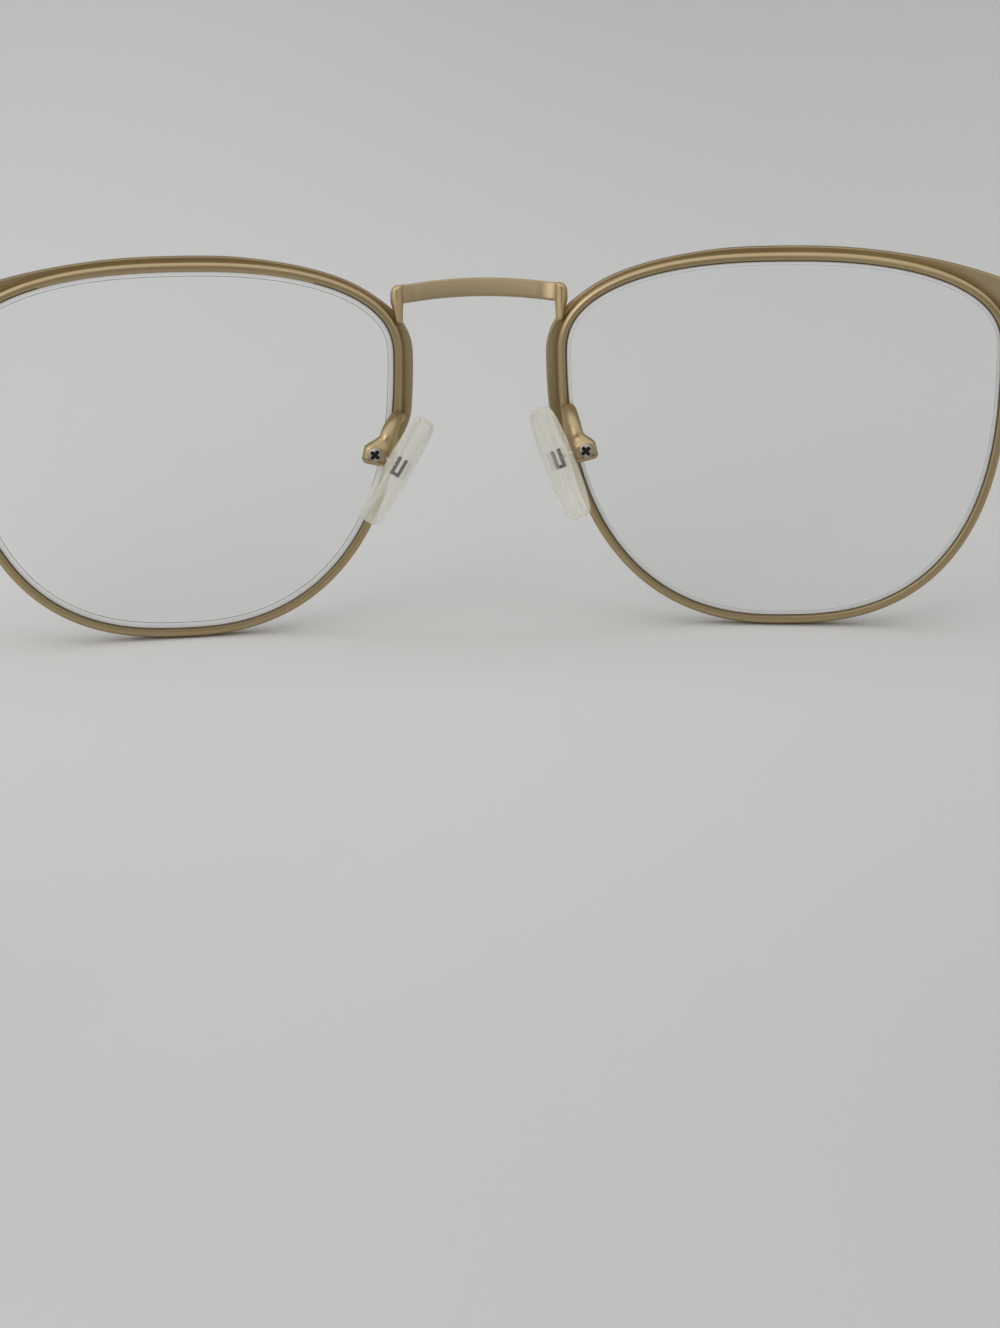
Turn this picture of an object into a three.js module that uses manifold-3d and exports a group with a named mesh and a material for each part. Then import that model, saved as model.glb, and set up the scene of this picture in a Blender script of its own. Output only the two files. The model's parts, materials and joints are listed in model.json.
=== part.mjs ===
// Panto eyeglasses in satin gold metal: two grooved rims behind stamped brow plates, a bowed bridge,
// clear lenses, screw-on nose pads, and temples that fold on three-knuckle hinges.
// Millimetres, +Z up, +X to the wearer's right, +Y the way the wearer looks.
// The glasses stand open, on the chins of their rims and on the two temple tips.
import * as THREE from 'three';
import { mergeVertices } from 'three/addons/utils/BufferGeometryUtils.js';
import Module from 'manifold-3d';

// Lens shape: quarters of superellipses that meet on the widest line, squarest below the temple
const LENS_WIDTH = 51;
const LENS_HEIGHT = 42.4;
const LENS_BROW = 10.8;
const BROW_POWER = 2.4;
const CHIN_NOSE_POWER = 2.33;
const CHIN_SIDE_POWER = 2.55;
const LENS_THICKNESS = 2;
const LENS_CLEARANCE = 0.15;
const LENS_RINGS = [0.12, 0.6];

// Front: space between the lenses, the curve they lie on, and the angles of the front
const BRIDGE_GAP = 19.6;
const FRONT_RADIUS = 130;
const FACE_FORM = THREE.MathUtils.degToRad(6);
const FRONT_TILT = THREE.MathUtils.degToRad(8);

// Rim wire
const RIM_WIDTH = 1.1;
const RIM_DEPTH = 2;
const RIM_CHAMFER = 0.25;
const RIM_BACK = 0.4;
const GROOVE_DEPTH = 0.65;
const RIM_STEPS = 64;
const WALK_FINENESS = 30;

// Soldered and brazed pieces lie this far apart
const SOLDER = 0.1;

// Brow plate, which runs out into the end piece and turns back as a tab for the hinge
const PLATE_THICKNESS = 0.9;
const PLATE_EDGE = 0.2;
const PLATE_INSET = 0.15;
const BROW_REVEAL = 0.5;
const CORNER_REVEAL = 0.1;
const NOSE_REVEAL = 1.3;
const PLATE_NOSE_END = THREE.MathUtils.degToRad(201);
const PLATE_FADE = THREE.MathUtils.degToRad(12);
const PLATE_NARROWS = [THREE.MathUtils.degToRad(115), THREE.MathUtils.degToRad(150)];
const PLATE_WIDENS = [THREE.MathUtils.degToRad(163), THREE.MathUtils.degToRad(180)];
const PLATE_LEAVES_RIM = THREE.MathUtils.degToRad(52);
const PLATE_ROOT = THREE.MathUtils.degToRad(-7);
const PLATE_STEPS = { brow: 24, flare: 12, end: 5, bend: 6 };
const END_REACH = 4.7;
const END_HEIGHT = 14.4;
const END_RISE = 0.36;
const END_ROOT = new THREE.Vector2(0.7, 1.2);
const END_SHARE = 0.16;
const END_BEND = 1.3;
const TAB_LENGTH = 7.2;

// Bridge
const BRIDGE_HEIGHT = 2.1;
const BRIDGE_THICKNESS = 1;
const BRIDGE_LEVEL = 17.45;
const BRIDGE_ARCH = 0.7;
const BRIDGE_BOW = 1.7;
const BRIDGE_CHAMFER = 0.25;
const BRIDGE_TURN = 2.5;
const BRIDGE_CORNER = 6;
const FOOT_LOW = 14.4;
const FOOT_HEIGHT = 4.5;
const FOOT_WIDTH = 1.4;
const FOOT_FLARE = 0.3;
const FOOT_INSET = 0.3;

// Rim lock behind the end piece, over the widest line of the lens
const LOCK_HEIGHT = 11.4;
const RIM_SPLIT = 0.4;
const LOCK_WIDTH = 2.3;
const LOCK_LENGTH = 2.2;
const LOCK_DEPTH = 1.8;
const LOCK_CHAMFER = 0.36;
const LOCK_SCREW = 0.45;

// Hinge
const HINGE_HEIGHT = 3.8;
const KNUCKLE_RADIUS = 1.3;
const KNUCKLE_HEIGHT = 1.5;
const KNUCKLE_GAP = 0.25;
const KNUCKLE_PLAY = 0.1;
const LEAF_THICKNESS = 1;
const LEAF_LENGTH = 4.5;
const HINGE_SCREW = 0.55;
const BUTT_GAP = 0.3;

// Screws in general
const SCREW_CLEARANCE = 0.06;
const SCREW_SIDES = 20;
const CUT_THROUGH = 4;
const HEAD_RATIO = 1.75;
const HEAD_HEIGHT = 0.45;
const HEAD_ROUND = 0.15;
const CROSS_SPAN = 1.2;
const SLOT_WIDTH = 0.3;
const SLOT_DEPTH = 0.22;

// Temple and its tip, measured along the temple from the hinge
const TEMPLE_LENGTH = 145;
const TEMPLE_THICKNESS = 1;
const TEMPLE_END_HEIGHT = 2.8;
const TEMPLE_CHAMFER = 0.2;
const TEMPLE_STEPS = 4;
const EAR_RADIUS = 26;
const EAR_ANGLE = THREE.MathUtils.degToRad(45);
const TIP_LEAD = 14;
const TIP_THICKNESS = 3.2;
const TIP_HEIGHT = 5;
const TIP_MOUTH = 0.62;
const TIP_FULL_AT = 0.7;
const TIP_SQUARE = 0.8;
const TIP_ROUND = 3;
const TIP_LEAN = 3;
const TIP_STEPS = { along: 16, end: 5, sides: 12 };
const CORE_LENGTH = 38;
const CORE_HEIGHT = 1.6;
const CORE_THICKNESS = 0.9;
const CORE_CLEARANCE = 0.15;
const CORE_STEPS = 14;

// Pad arm, from the rim back to the box that holds the pad
const ARM_LEVEL = 3.9;
const ARM_INSET = 0.3;
const ARM_SIZE = new THREE.Vector2(1.7, 1.3);
const ARM_LEAVES = new THREE.Vector3(0, -2.4, 0.5);
const ARM_ENTERS = new THREE.Vector3(-0.6, 0.2, 1.5);
const ARM_STEPS = { along: 14, sides: 8 };
const BOX_AT = new THREE.Vector3(12.1, -5.8, -0.2);
const BOX_SET = { left: 0.35, right: -0.35 };
const BOX_SIZE = new THREE.Vector3(2.7, 2.4, 2.6);
const BOX_TURN = THREE.MathUtils.degToRad(24);
const BOX_CORNER = 0.55;
const BOX_WALL = 0.4;
const PAD_SCREW = 0.35;
const PAD_HEAD_RATIO = 2.3;

// Nose pad: length, width and thickness, where its middle lies from the screw, and how it is set
const PAD_SIZE = new THREE.Vector3(13.3, 7, 2.2);
const PAD_OFFSET = new THREE.Vector3(-3.05, -1.7, -1.5);
const PAD_FLARE = THREE.MathUtils.degToRad(23);
const PAD_SPLAY = THREE.MathUtils.degToRad(14);
const PAD_SET = { left: THREE.MathUtils.degToRad(5.5), right: THREE.MathUtils.degToRad(-5.5) };
const PAD_EGG = 0.06;
const PAD_SQUARE = 0.8;
const PAD_SIDES = 24;
const PAD_SWELL = [
  [-0.5, 0.86], [-0.36, 0.97], [-0.05, 1], [0.2, 0.98], [0.36, 0.9], [0.46, 0.72], [0.5, 0.45],
];
const PAD_TAIL = 0.9;
const TAIL_PLAY = 0.24;
const NECK_CHAMFER = 0.18;
const NECK_ROOT = 0.4;
const CORE_PLATE = new THREE.Vector3(3, 2.2, 0.5);
const CORE_SHIFT = 0.5;
const PAD_CLEARANCE = 0.12;

const LENS_X = (LENS_WIDTH + BRIDGE_GAP) / 2;
const WIDEST = LENS_HEIGHT / 2 - LENS_BROW;
const GROOVE_BOTTOM = LENS_CLEARANCE;
const RIM_LIP = GROOVE_BOTTOM - GROOVE_DEPTH;
const RIM_OUTER = RIM_LIP + RIM_WIDTH;
const PLATE_LIFT = RIM_DEPTH / 2 + SOLDER;
const UP = new THREE.Vector3(0, 0, 1);

const gold = new THREE.MeshStandardMaterial({ color: '#c8ae80', roughness: 0.38, metalness: 1 });
const steel = new THREE.MeshStandardMaterial({ color: '#a8a6a0', roughness: 0.3, metalness: 1 });
const clearLens = new THREE.MeshStandardMaterial({
  color: '#eef3f1', roughness: 0.04, metalness: 0, transparent: true, opacity: 0.3,
});
const silicone = new THREE.MeshStandardMaterial({
  color: '#e4e2da', roughness: 0.3, metalness: 0, transparent: true, opacity: 0.6,
});
const acetate = new THREE.MeshStandardMaterial({ color: '#4b2f1d', roughness: 0.2, metalness: 0 });

const wasm = await Module();
wasm.setup();

function signedVolume(position, index) {
  const corner = [0, 1, 2].map(() => new THREE.Vector3());
  let volume = 0;
  for (let i = 0; i < index.length; i += 3) {
    corner.forEach((point, k) => point.fromBufferAttribute(position, index[i + k]));
    volume += corner[0].dot(corner[1].clone().cross(corner[2])) / 6;
  }
  return volume;
}

// Skins a row of equal rings. The ends are closed with the triangles of the flat outline given.
function loft(rings, outlineOfEnd) {
  const count = rings[0].length;
  const last = (rings.length - 1) * count;
  let index = [];
  for (let k = 0; k < last; k += count) {
    for (let i = 0; i < count; i++) {
      const a = k + i;
      const b = k + ((i + 1) % count);
      index.push(a, b, b + count, a, b + count, a + count);
    }
  }
  const area = (points) => THREE.ShapeUtils.area(points);
  for (const face of THREE.ShapeUtils.triangulateShape(outlineOfEnd, [])) {
    const sameTurn = area(face.map((k) => outlineOfEnd[k])) * area(outlineOfEnd) > 0;
    const [a, b, c] = sameTurn ? face : face.reverse();
    index.push(c, b, a, last + a, last + b, last + c);
  }
  const position = new THREE.Float32BufferAttribute(rings.flat().flatMap((point) => point.toArray()), 3);
  if (signedVolume(position, index) < 0) index = index.reverse();
  const geometry = new THREE.BufferGeometry();
  geometry.setAttribute('position', position);
  geometry.setIndex(index);
  return geometry;
}

function toSolid(geometry) {
  const bare = geometry.clone();
  bare.deleteAttribute('normal');
  bare.deleteAttribute('uv');
  const merged = mergeVertices(bare, 1e-4);
  return new wasm.Manifold(new wasm.Mesh({
    numProp: 3,
    vertProperties: new Float32Array(merged.attributes.position.array),
    triVerts: new Uint32Array(merged.index.array),
  }));
}

function toGeometry(solid) {
  const mesh = solid.getMesh();
  const geometry = new THREE.BufferGeometry();
  geometry.setAttribute('position', new THREE.Float32BufferAttribute(mesh.vertProperties, 3));
  geometry.setIndex([...mesh.triVerts]);
  return geometry;
}

function join(...pieces) {
  return toGeometry(pieces.map(toSolid).reduce((sum, piece) => sum.add(piece)));
}

function cut(body, ...tools) {
  return toGeometry(tools.map(toSolid).reduce((rest, tool) => rest.subtract(tool), toSolid(body)));
}

function box(size, centre) {
  return new THREE.BoxGeometry(size.x, size.y, size.z).translate(centre.x, centre.y, centre.z);
}

// A rod along +Z, its middle at the origin
function rod(radius, length) {
  return new THREE.CylinderGeometry(radius, radius, length, SCREW_SIDES).rotateX(Math.PI / 2);
}

// The drill whose flats clear a screw of this radius
function drill(radius, length) {
  return rod((radius + SCREW_CLEARANCE) / Math.cos(Math.PI / SCREW_SIDES), length);
}

// A screw along Z: the head stands on z = 0 and the shank hangs below. Slots cross the head.
function screw(radius, length, slots, ratio = HEAD_RATIO) {
  const head = radius * ratio;
  const profile = [
    [0, -length], [radius, -length], [radius, 0], [head, 0],
    [head, HEAD_HEIGHT - HEAD_ROUND], [head - HEAD_ROUND, HEAD_HEIGHT], [0, HEAD_HEIGHT],
  ].map(([x, y]) => new THREE.Vector2(x, y));
  const body = new THREE.LatheGeometry(profile, SCREW_SIDES).rotateX(Math.PI / 2);
  const span = head * (slots > 1 ? CROSS_SPAN : CUT_THROUGH);
  const slot = (turn) => box(
    new THREE.Vector3(span, SLOT_WIDTH, SLOT_DEPTH * 2),
    new THREE.Vector3(0, 0, HEAD_HEIGHT),
  ).rotateZ(turn);
  return cut(body, ...Array.from({ length: slots }, (_, k) => slot((k * Math.PI) / slots)));
}

// Half height and power of the lens outline in one of its quarters
function lensQuarter(above, outward) {
  if (above) return { half: LENS_BROW, power: BROW_POWER };
  return { half: LENS_HEIGHT - LENS_BROW, power: outward ? CHIN_SIDE_POWER : CHIN_NOSE_POWER };
}

// Point of the lens outline at an angle seen from the middle of its widest line, moved out by an offset
function lensEdge(angle, offset = 0) {
  const at = (a) => {
    const { half, power } = lensQuarter(Math.sin(a) >= 0, Math.cos(a) >= 0);
    const across = Math.abs(Math.cos(a) / (LENS_WIDTH / 2)) ** power;
    const along = Math.abs(Math.sin(a) / half) ** power;
    const reach = (across + along) ** (-1 / power);
    return new THREE.Vector2(reach * Math.cos(a), WIDEST + reach * Math.sin(a));
  };
  const step = 1e-3;
  const run = at(angle + step).sub(at(angle - step)).normalize();
  return at(angle).add(new THREE.Vector2(run.y, -run.x).multiplyScalar(offset));
}

// Angles that part a stretch of the outline into equal lengths
function walk(from, to, steps) {
  const fine = spread(from, to, steps * WALK_FINENESS);
  const run = [0];
  for (let k = 1; k < fine.length; k++) {
    run.push(run[k - 1] + lensEdge(fine[k]).distanceTo(lensEdge(fine[k - 1])));
  }
  const whole = run[run.length - 1];
  return spread(0, 1, steps).map((share) => fine[run.findIndex((length) => length >= share * whole)]);
}

// Angle at which one side of the outline stands at a height over the lens centre
function angleAtHeight(height, outward) {
  const rise = height - WIDEST;
  const { half, power } = lensQuarter(rise >= 0, outward);
  const across = (LENS_WIDTH / 2) * (1 - Math.abs(rise / half) ** power) ** (1 / power);
  return Math.atan2(rise, outward ? across : -across);
}

// From a lens's own plane (out to the temple, up) onto the curved front, lifted forward
function onFront(flat, lift = 0) {
  const depth = lift - flat.lengthSq() / (2 * FRONT_RADIUS);
  return new THREE.Vector3(flat.x, depth, flat.y).applyAxisAngle(UP, -FACE_FORM).setX(
    LENS_X + flat.x * Math.cos(FACE_FORM) + depth * Math.sin(FACE_FORM),
  );
}

function frontNormal(flat) {
  return new THREE.Vector3(flat.x / FRONT_RADIUS, 1, flat.y / FRONT_RADIUS).normalize()
    .applyAxisAngle(UP, -FACE_FORM);
}

function ringOnFront(angle, section) {
  return section.map((point) => onFront(lensEdge(angle, point.x), point.y));
}

function spread(from, to, steps) {
  return Array.from({ length: steps + 1 }, (_, k) => from + ((to - from) * k) / steps);
}

// Fills out an oval's sine or cosine, for a squarer outline
function squared(value, power) {
  return Math.sign(value) * Math.abs(value) ** power;
}

// Rectangle with its corners cut, as points of a section
function chamfered(width, height, chamfer) {
  const x = width / 2;
  const y = height / 2;
  return [
    [x - chamfer, -y], [x, chamfer - y], [x, y - chamfer], [x - chamfer, y],
    [chamfer - x, y], [-x, y - chamfer], [-x, chamfer - y], [chamfer - x, -y],
  ].map(([a, b]) => new THREE.Vector2(a, b));
}

const splitAngle = angleAtHeight(LOCK_HEIGHT, true);
const angleOf = (length) => length / lensEdge(splitAngle).distanceTo(new THREE.Vector2(0, WIDEST));

function rimGeometry() {
  const half = RIM_DEPTH / 2;
  const c = RIM_CHAMFER;
  const section = [
    [RIM_LIP, -GROOVE_DEPTH], [GROOVE_BOTTOM, 0], [RIM_LIP, GROOVE_DEPTH], [RIM_LIP, half - c / 2],
    [RIM_LIP + c / 2, half], [RIM_OUTER - c, half], [RIM_OUTER, half - c], [RIM_OUTER, RIM_BACK - half],
    [RIM_OUTER - RIM_BACK, -half], [RIM_LIP + c, -half], [RIM_LIP, c - half],
  ].map(([x, y]) => new THREE.Vector2(x, y));
  const gap = angleOf(RIM_SPLIT / 2);
  const angles = walk(splitAngle + gap, splitAngle + 2 * Math.PI - gap, RIM_STEPS);
  return loft(angles.map((angle) => ringOnFront(angle, section)), section);
}

function lensGeometry() {
  const flat = RIM_LIP - LENS_CLEARANCE;
  const half = LENS_THICKNESS / 2;
  const angles = walk(0, 2 * Math.PI, RIM_STEPS).slice(1);
  const edge = (offset, lift) => angles.map((angle) => onFront(lensEdge(angle, offset), lift));
  const face = (lift) => LENS_RINGS.map((share) => angles.map(
    (angle) => onFront(lensEdge(angle).multiplyScalar(share), lift),
  ));
  const rings = [
    ...face(half), edge(flat, half), edge(flat, -flat),
    edge(0, 0), edge(flat, flat), edge(flat, -half), ...face(-half).reverse(),
  ];
  return loft(rings, angles.map((angle) => lensEdge(angle)));
}

// The sheet runs from beside the nose over the brow, out along the end piece and back as the hinge tab.
// Each station holds the sheet's two edges on its back face and the way its front face looks.
function plateStations() {
  const half = HINGE_HEIGHT / 2;
  const reach = LENS_WIDTH / 2 + END_REACH;
  const inner = (angle) => lensEdge(angle, RIM_LIP + PLATE_INSET);
  const outer = (angle) => {
    const { lerp, smoothstep } = THREE.MathUtils;
    const atCorner = lerp(BROW_REVEAL, CORNER_REVEAL, smoothstep(angle, ...PLATE_NARROWS));
    const reveal = lerp(atCorner, NOSE_REVEAL, smoothstep(angle, ...PLATE_WIDENS));
    const fade = 1 - smoothstep(angle, PLATE_NOSE_END - PLATE_FADE, PLATE_NOSE_END);
    return lensEdge(angle, RIM_OUTER + fade * reveal);
  };
  const leave = outer(PLATE_LEAVES_RIM);
  const corner = new THREE.Vector2(reach, END_HEIGHT + half);
  const nearby = 0.01;
  const along = leave.clone().sub(outer(PLATE_LEAVES_RIM + nearby)).normalize();
  const third = corner.distanceTo(leave) / 3;
  const top = new THREE.CubicBezierCurve(
    leave,
    leave.clone().addScaledVector(along, third),
    corner.clone().add(new THREE.Vector2(-third, third * END_RISE)),
    corner,
  );
  const root = inner(PLATE_ROOT);
  const under = new THREE.CubicBezierCurve(
    root,
    new THREE.Vector2(root.x + END_ROOT.x, END_HEIGHT - half - END_ROOT.y),
    new THREE.Vector2(reach - END_REACH / 2, END_HEIGHT - half),
    new THREE.Vector2(reach, END_HEIGHT - half),
  );
  const station = (low, high) => ({
    low: onFront(low, PLATE_LIFT),
    high: onFront(high, PLATE_LIFT),
    out: frontNormal(low.clone().lerp(high, 0.5)),
  });
  const overBrow = walk(PLATE_NOSE_END, PLATE_LEAVES_RIM, PLATE_STEPS.brow);
  const overFlare = walk(PLATE_LEAVES_RIM, PLATE_ROOT, PLATE_STEPS.flare);
  return [
    ...overBrow.map((angle) => station(inner(angle), outer(angle))),
    ...overFlare.map((angle, k) => station(
      inner(angle), top.getPoint((k / PLATE_STEPS.flare) * (1 - END_SHARE)),
    )).slice(1),
    ...spread(0, 1, PLATE_STEPS.end).slice(1).map((share) => station(
      under.getPoint(share),
      top.getPoint(1 - END_SHARE * (1 - share)),
    )),
  ];
}

// Turns the sheet's end back along the temple, which lies level when the tilted front stands
function tabStations(from) {
  const before = from[from.length - 2];
  const start = from[from.length - 1];
  const middle = (station) => station.low.clone().lerp(station.high, 0.5);
  const rise = start.high.clone().sub(start.low).normalize();
  const forward = middle(start).sub(middle(before)).normalize();
  const back = new THREE.Vector3(0, -Math.cos(FRONT_TILT), -Math.sin(FRONT_TILT));
  const upright = new THREE.Vector3(0, -Math.sin(FRONT_TILT), Math.cos(FRONT_TILT));
  const turn = forward.angleTo(back);
  const at = middle(start);
  const steps = PLATE_STEPS.bend;
  const stations = [];
  const add = (way, up) => {
    const high = up.clone().addScaledVector(way, -up.dot(way)).normalize();
    stations.push({
      low: at.clone().addScaledVector(high, -HINGE_HEIGHT / 2),
      high: at.clone().addScaledVector(high, HINGE_HEIGHT / 2),
      out: high.clone().cross(way).normalize(),
    });
  };
  for (let k = 1; k <= steps; k++) {
    const way = forward.clone().lerp(back, (k - 0.5) / steps).normalize();
    at.addScaledVector(way, (END_BEND * turn) / steps);
    add(forward.clone().lerp(back, k / steps).normalize(), rise.clone().lerp(upright, k / steps));
  }
  at.addScaledVector(back, TAB_LENGTH);
  add(back, upright);
  return { stations, end: at.clone() };
}

function plateGeometry(stations) {
  const ring = ({ low, high, out }) => {
    const across = high.clone().sub(low).normalize().multiplyScalar(PLATE_EDGE);
    const side = out.clone().multiplyScalar(PLATE_THICKNESS - PLATE_EDGE);
    const face = out.clone().multiplyScalar(PLATE_THICKNESS);
    return [
      low, high, high.clone().add(side), high.clone().add(face).sub(across),
      low.clone().add(face).add(across), low.clone().add(side),
    ];
  };
  const flat = [[0, 0], [3, 0], [3, 2], [2, 3], [1, 3], [0, 2]].map(([x, y]) => new THREE.Vector2(x, y));
  return loft(stations.map(ring), flat);
}

// Axes of the rim lock beside the split: out from the rim, and down along its screw
function lockFrame() {
  const offset = RIM_OUTER + SOLDER + LOCK_WIDTH / 2;
  const at = (angle, reach) => onFront(lensEdge(angle, reach));
  const nearby = 0.02;
  const down = at(splitAngle - nearby, offset).sub(at(splitAngle + nearby, offset)).normalize();
  const out = at(splitAngle, offset).sub(at(splitAngle, 0));
  out.addScaledVector(down, -out.dot(down)).normalize();
  return new THREE.Matrix4().makeBasis(out, down.clone().cross(out), down)
    .setPosition(at(splitAngle, offset));
}

// Half of the rim lock: a block soldered to one end of the rim wire, bored for the lock screw
function lockGeometry(level) {
  const shape = new THREE.Shape(chamfered(LOCK_WIDTH, LOCK_DEPTH, LOCK_CHAMFER));
  const block = new THREE.ExtrudeGeometry(shape, { depth: LOCK_LENGTH, bevelEnabled: false })
    .translate(0, 0, level);
  return cut(block, drill(LOCK_SCREW, CUT_THROUGH * LOCK_LENGTH)).applyMatrix4(lockFrame());
}

function lockScrewGeometry() {
  const head = RIM_SPLIT / 2 + LOCK_LENGTH + SOLDER;
  const length = head + RIM_SPLIT / 2 + LOCK_LENGTH;
  return screw(LOCK_SCREW, length, 1).translate(0, 0, head).applyMatrix4(lockFrame());
}

// Flat strip across the nose: bowed forward and arched between two taller feet
function bridgeGeometry() {
  const noseSide = (angle) => onFront(lensEdge(angle, RIM_OUTER + SOLDER));
  const footAngle = angleAtHeight(FOOT_LOW, false);
  const outside = noseSide(footAngle).x;
  const seat = onFront(lensEdge(footAngle, RIM_OUTER + FOOT_WIDTH / 2), PLATE_LIFT).y;
  const footY = seat - FOOT_INSET - BRIDGE_THICKNESS / 2;
  const inside = outside - FOOT_WIDTH;
  const sectionAt = (x) => {
    const reach = Math.abs(x) / inside;
    const toFoot = THREE.MathUtils.smoothstep(Math.abs(x), inside - FOOT_FLARE, inside);
    const level = BRIDGE_LEVEL + BRIDGE_ARCH * (1 - Math.min(reach, 1) ** 2);
    const height = THREE.MathUtils.lerp(BRIDGE_HEIGHT, FOOT_HEIGHT, toFoot);
    const middle = THREE.MathUtils.lerp(level, FOOT_LOW + FOOT_HEIGHT / 2, toFoot);
    const bow = footY + BRIDGE_BOW * (1 - Math.min(reach, 1) ** BRIDGE_CORNER);
    return chamfered(BRIDGE_THICKNESS, height, BRIDGE_CHAMFER)
      .map((point) => new THREE.Vector3(x, bow + point.x, middle + point.y));
  };
  const half = [
    ...spread(0, inside - BRIDGE_TURN, 5), ...spread(inside - BRIDGE_TURN, inside, 7).slice(1),
    inside + FOOT_WIDTH / 2, outside,
  ];
  const xs = [...half.slice(1).reverse().map((x) => -x), ...half];
  return loft(xs.map(sectionAt), chamfered(BRIDGE_THICKNESS, FOOT_HEIGHT, BRIDGE_CHAMFER));
}

// Oval arm from the back of the rim, bent down into the box that takes the pad's tail. The box is turned
// about its screw so that its open side looks at the back of the pad.
function padArmGeometry(at) {
  const start = onFront(lensEdge(angleAtHeight(ARM_LEVEL, false), -ARM_INSET), -RIM_DEPTH / 2 - SOLDER);
  const down = new THREE.Vector3(Math.sin(BOX_TURN), 0, -Math.cos(BOX_TURN));
  const end = at.clone().addScaledVector(down, BOX_WALL / 2 - BOX_SIZE.z / 2);
  const path = new THREE.CubicBezierCurve3(
    start,
    start.clone().add(ARM_LEAVES),
    end.clone().add(ARM_ENTERS),
    end,
  );
  const oval = spread(0, 2 * Math.PI, ARM_STEPS.sides).slice(1).map((angle) => new THREE.Vector2(
    (ARM_SIZE.x / 2) * Math.cos(angle), (ARM_SIZE.y / 2) * Math.sin(angle),
  ));
  const rings = spread(0, 1, ARM_STEPS.along).map((share) => {
    const way = path.getTangent(share);
    const across = new THREE.Vector3(1, 0, 0).addScaledVector(way, -way.x).normalize();
    const up = way.clone().cross(across);
    const middle = path.getPoint(share);
    return oval.map((p) => middle.clone().addScaledVector(across, p.x).addScaledVector(up, p.y));
  });
  const shell = new THREE.ExtrudeGeometry(
    new THREE.Shape(chamfered(BOX_SIZE.x, BOX_SIZE.z, BOX_CORNER)),
    { depth: BOX_SIZE.y, bevelEnabled: false },
  ).rotateX(Math.PI / 2).translate(0, BOX_SIZE.y / 2, 0);
  const room = new THREE.Vector3(BOX_SIZE.x, PAD_TAIL + 2 * TAIL_PLAY, BOX_SIZE.z - 2 * BOX_WALL);
  const cavity = box(room, new THREE.Vector3(-BOX_WALL, 0, 0));
  const bore = drill(PAD_SCREW, BOX_SIZE.y * CUT_THROUGH).rotateX(Math.PI / 2);
  for (const piece of [shell, cavity, bore]) piece.rotateY(-BOX_TURN).translate(at.x, at.y, at.z);
  return cut(join(loft(rings, oval), shell), cavity, bore);
}

// The pad's own axes, seen from its screw: length down and out, face toward the nose, width backward
function padBasis() {
  const length = new THREE.Vector3(Math.sin(PAD_FLARE), 0, -Math.cos(PAD_FLARE));
  const inward = new THREE.Vector3(-Math.cos(PAD_FLARE), 0, -Math.sin(PAD_FLARE));
  const back = new THREE.Vector3(0, -1, 0);
  const face = inward.clone().multiplyScalar(Math.cos(PAD_SPLAY))
    .addScaledVector(back, Math.sin(PAD_SPLAY));
  const width = face.clone().cross(length);
  return new THREE.Matrix4().makeBasis(length, width, face).setPosition(PAD_OFFSET);
}

function corePlate(grow) {
  const size = CORE_PLATE.clone().addScalar(2 * grow);
  const seat = new THREE.Vector3(-CORE_SHIFT, 0, CORE_PLATE.z / 2 - PAD_SIZE.z / 2);
  return box(size, seat).applyMatrix4(padBasis());
}

// Metal core of a pad: a plate set into the silicone, a neck, and the drilled tail held by the screw
function padCoreGeometry() {
  const radius = BOX_SIZE.z / 2 - BOX_WALL - PAD_CLEARANCE;
  const tail = new THREE.CylinderGeometry(radius, radius, PAD_TAIL, SCREW_SIDES);
  const basis = padBasis();
  const neck = chamfered(PAD_TAIL, PAD_TAIL, NECK_CHAMFER);
  const across = (x) => neck.map((p) => new THREE.Vector3(x, p.x, p.y)
    .applyMatrix4(new THREE.Matrix4().makeRotationY(-BOX_TURN)));
  const atMouth = across(-BOX_SIZE.x / 2 - PAD_CLEARANCE);
  const atPlate = neck.map((p) => new THREE.Vector3(
    -CORE_SHIFT - p.y, -p.x, CORE_PLATE.z / 2 - PAD_SIZE.z / 2,
  ).applyMatrix4(basis));
  const bore = drill(PAD_SCREW, PAD_TAIL * CUT_THROUGH).rotateX(Math.PI / 2);
  return cut(join(tail, loft([across(-NECK_ROOT), atMouth, atPlate], neck), corePlate(0)), bore);
}

// Soft egg-shaped pad, domed toward the nose, with the pocket for its core in the back
function padGeometry() {
  const egg = (angle, share) => new THREE.Vector2(
    (PAD_SIZE.x / 2) * squared(Math.cos(angle), PAD_SQUARE),
    (PAD_SIZE.y / 2) * squared(Math.sin(angle), PAD_SQUARE) * (1 + PAD_EGG * Math.cos(angle)),
  ).multiplyScalar(share);
  const angles = spread(0, 2 * Math.PI, PAD_SIDES).slice(1);
  const rings = PAD_SWELL.map(([height, share]) => angles.map((angle) => {
    const point = egg(angle, share);
    return new THREE.Vector3(point.x, point.y, height * PAD_SIZE.z);
  }));
  const body = loft(rings, angles.map((angle) => egg(angle, 1))).applyMatrix4(padBasis());
  return cut(body, corePlate(PAD_CLEARANCE));
}

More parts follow.
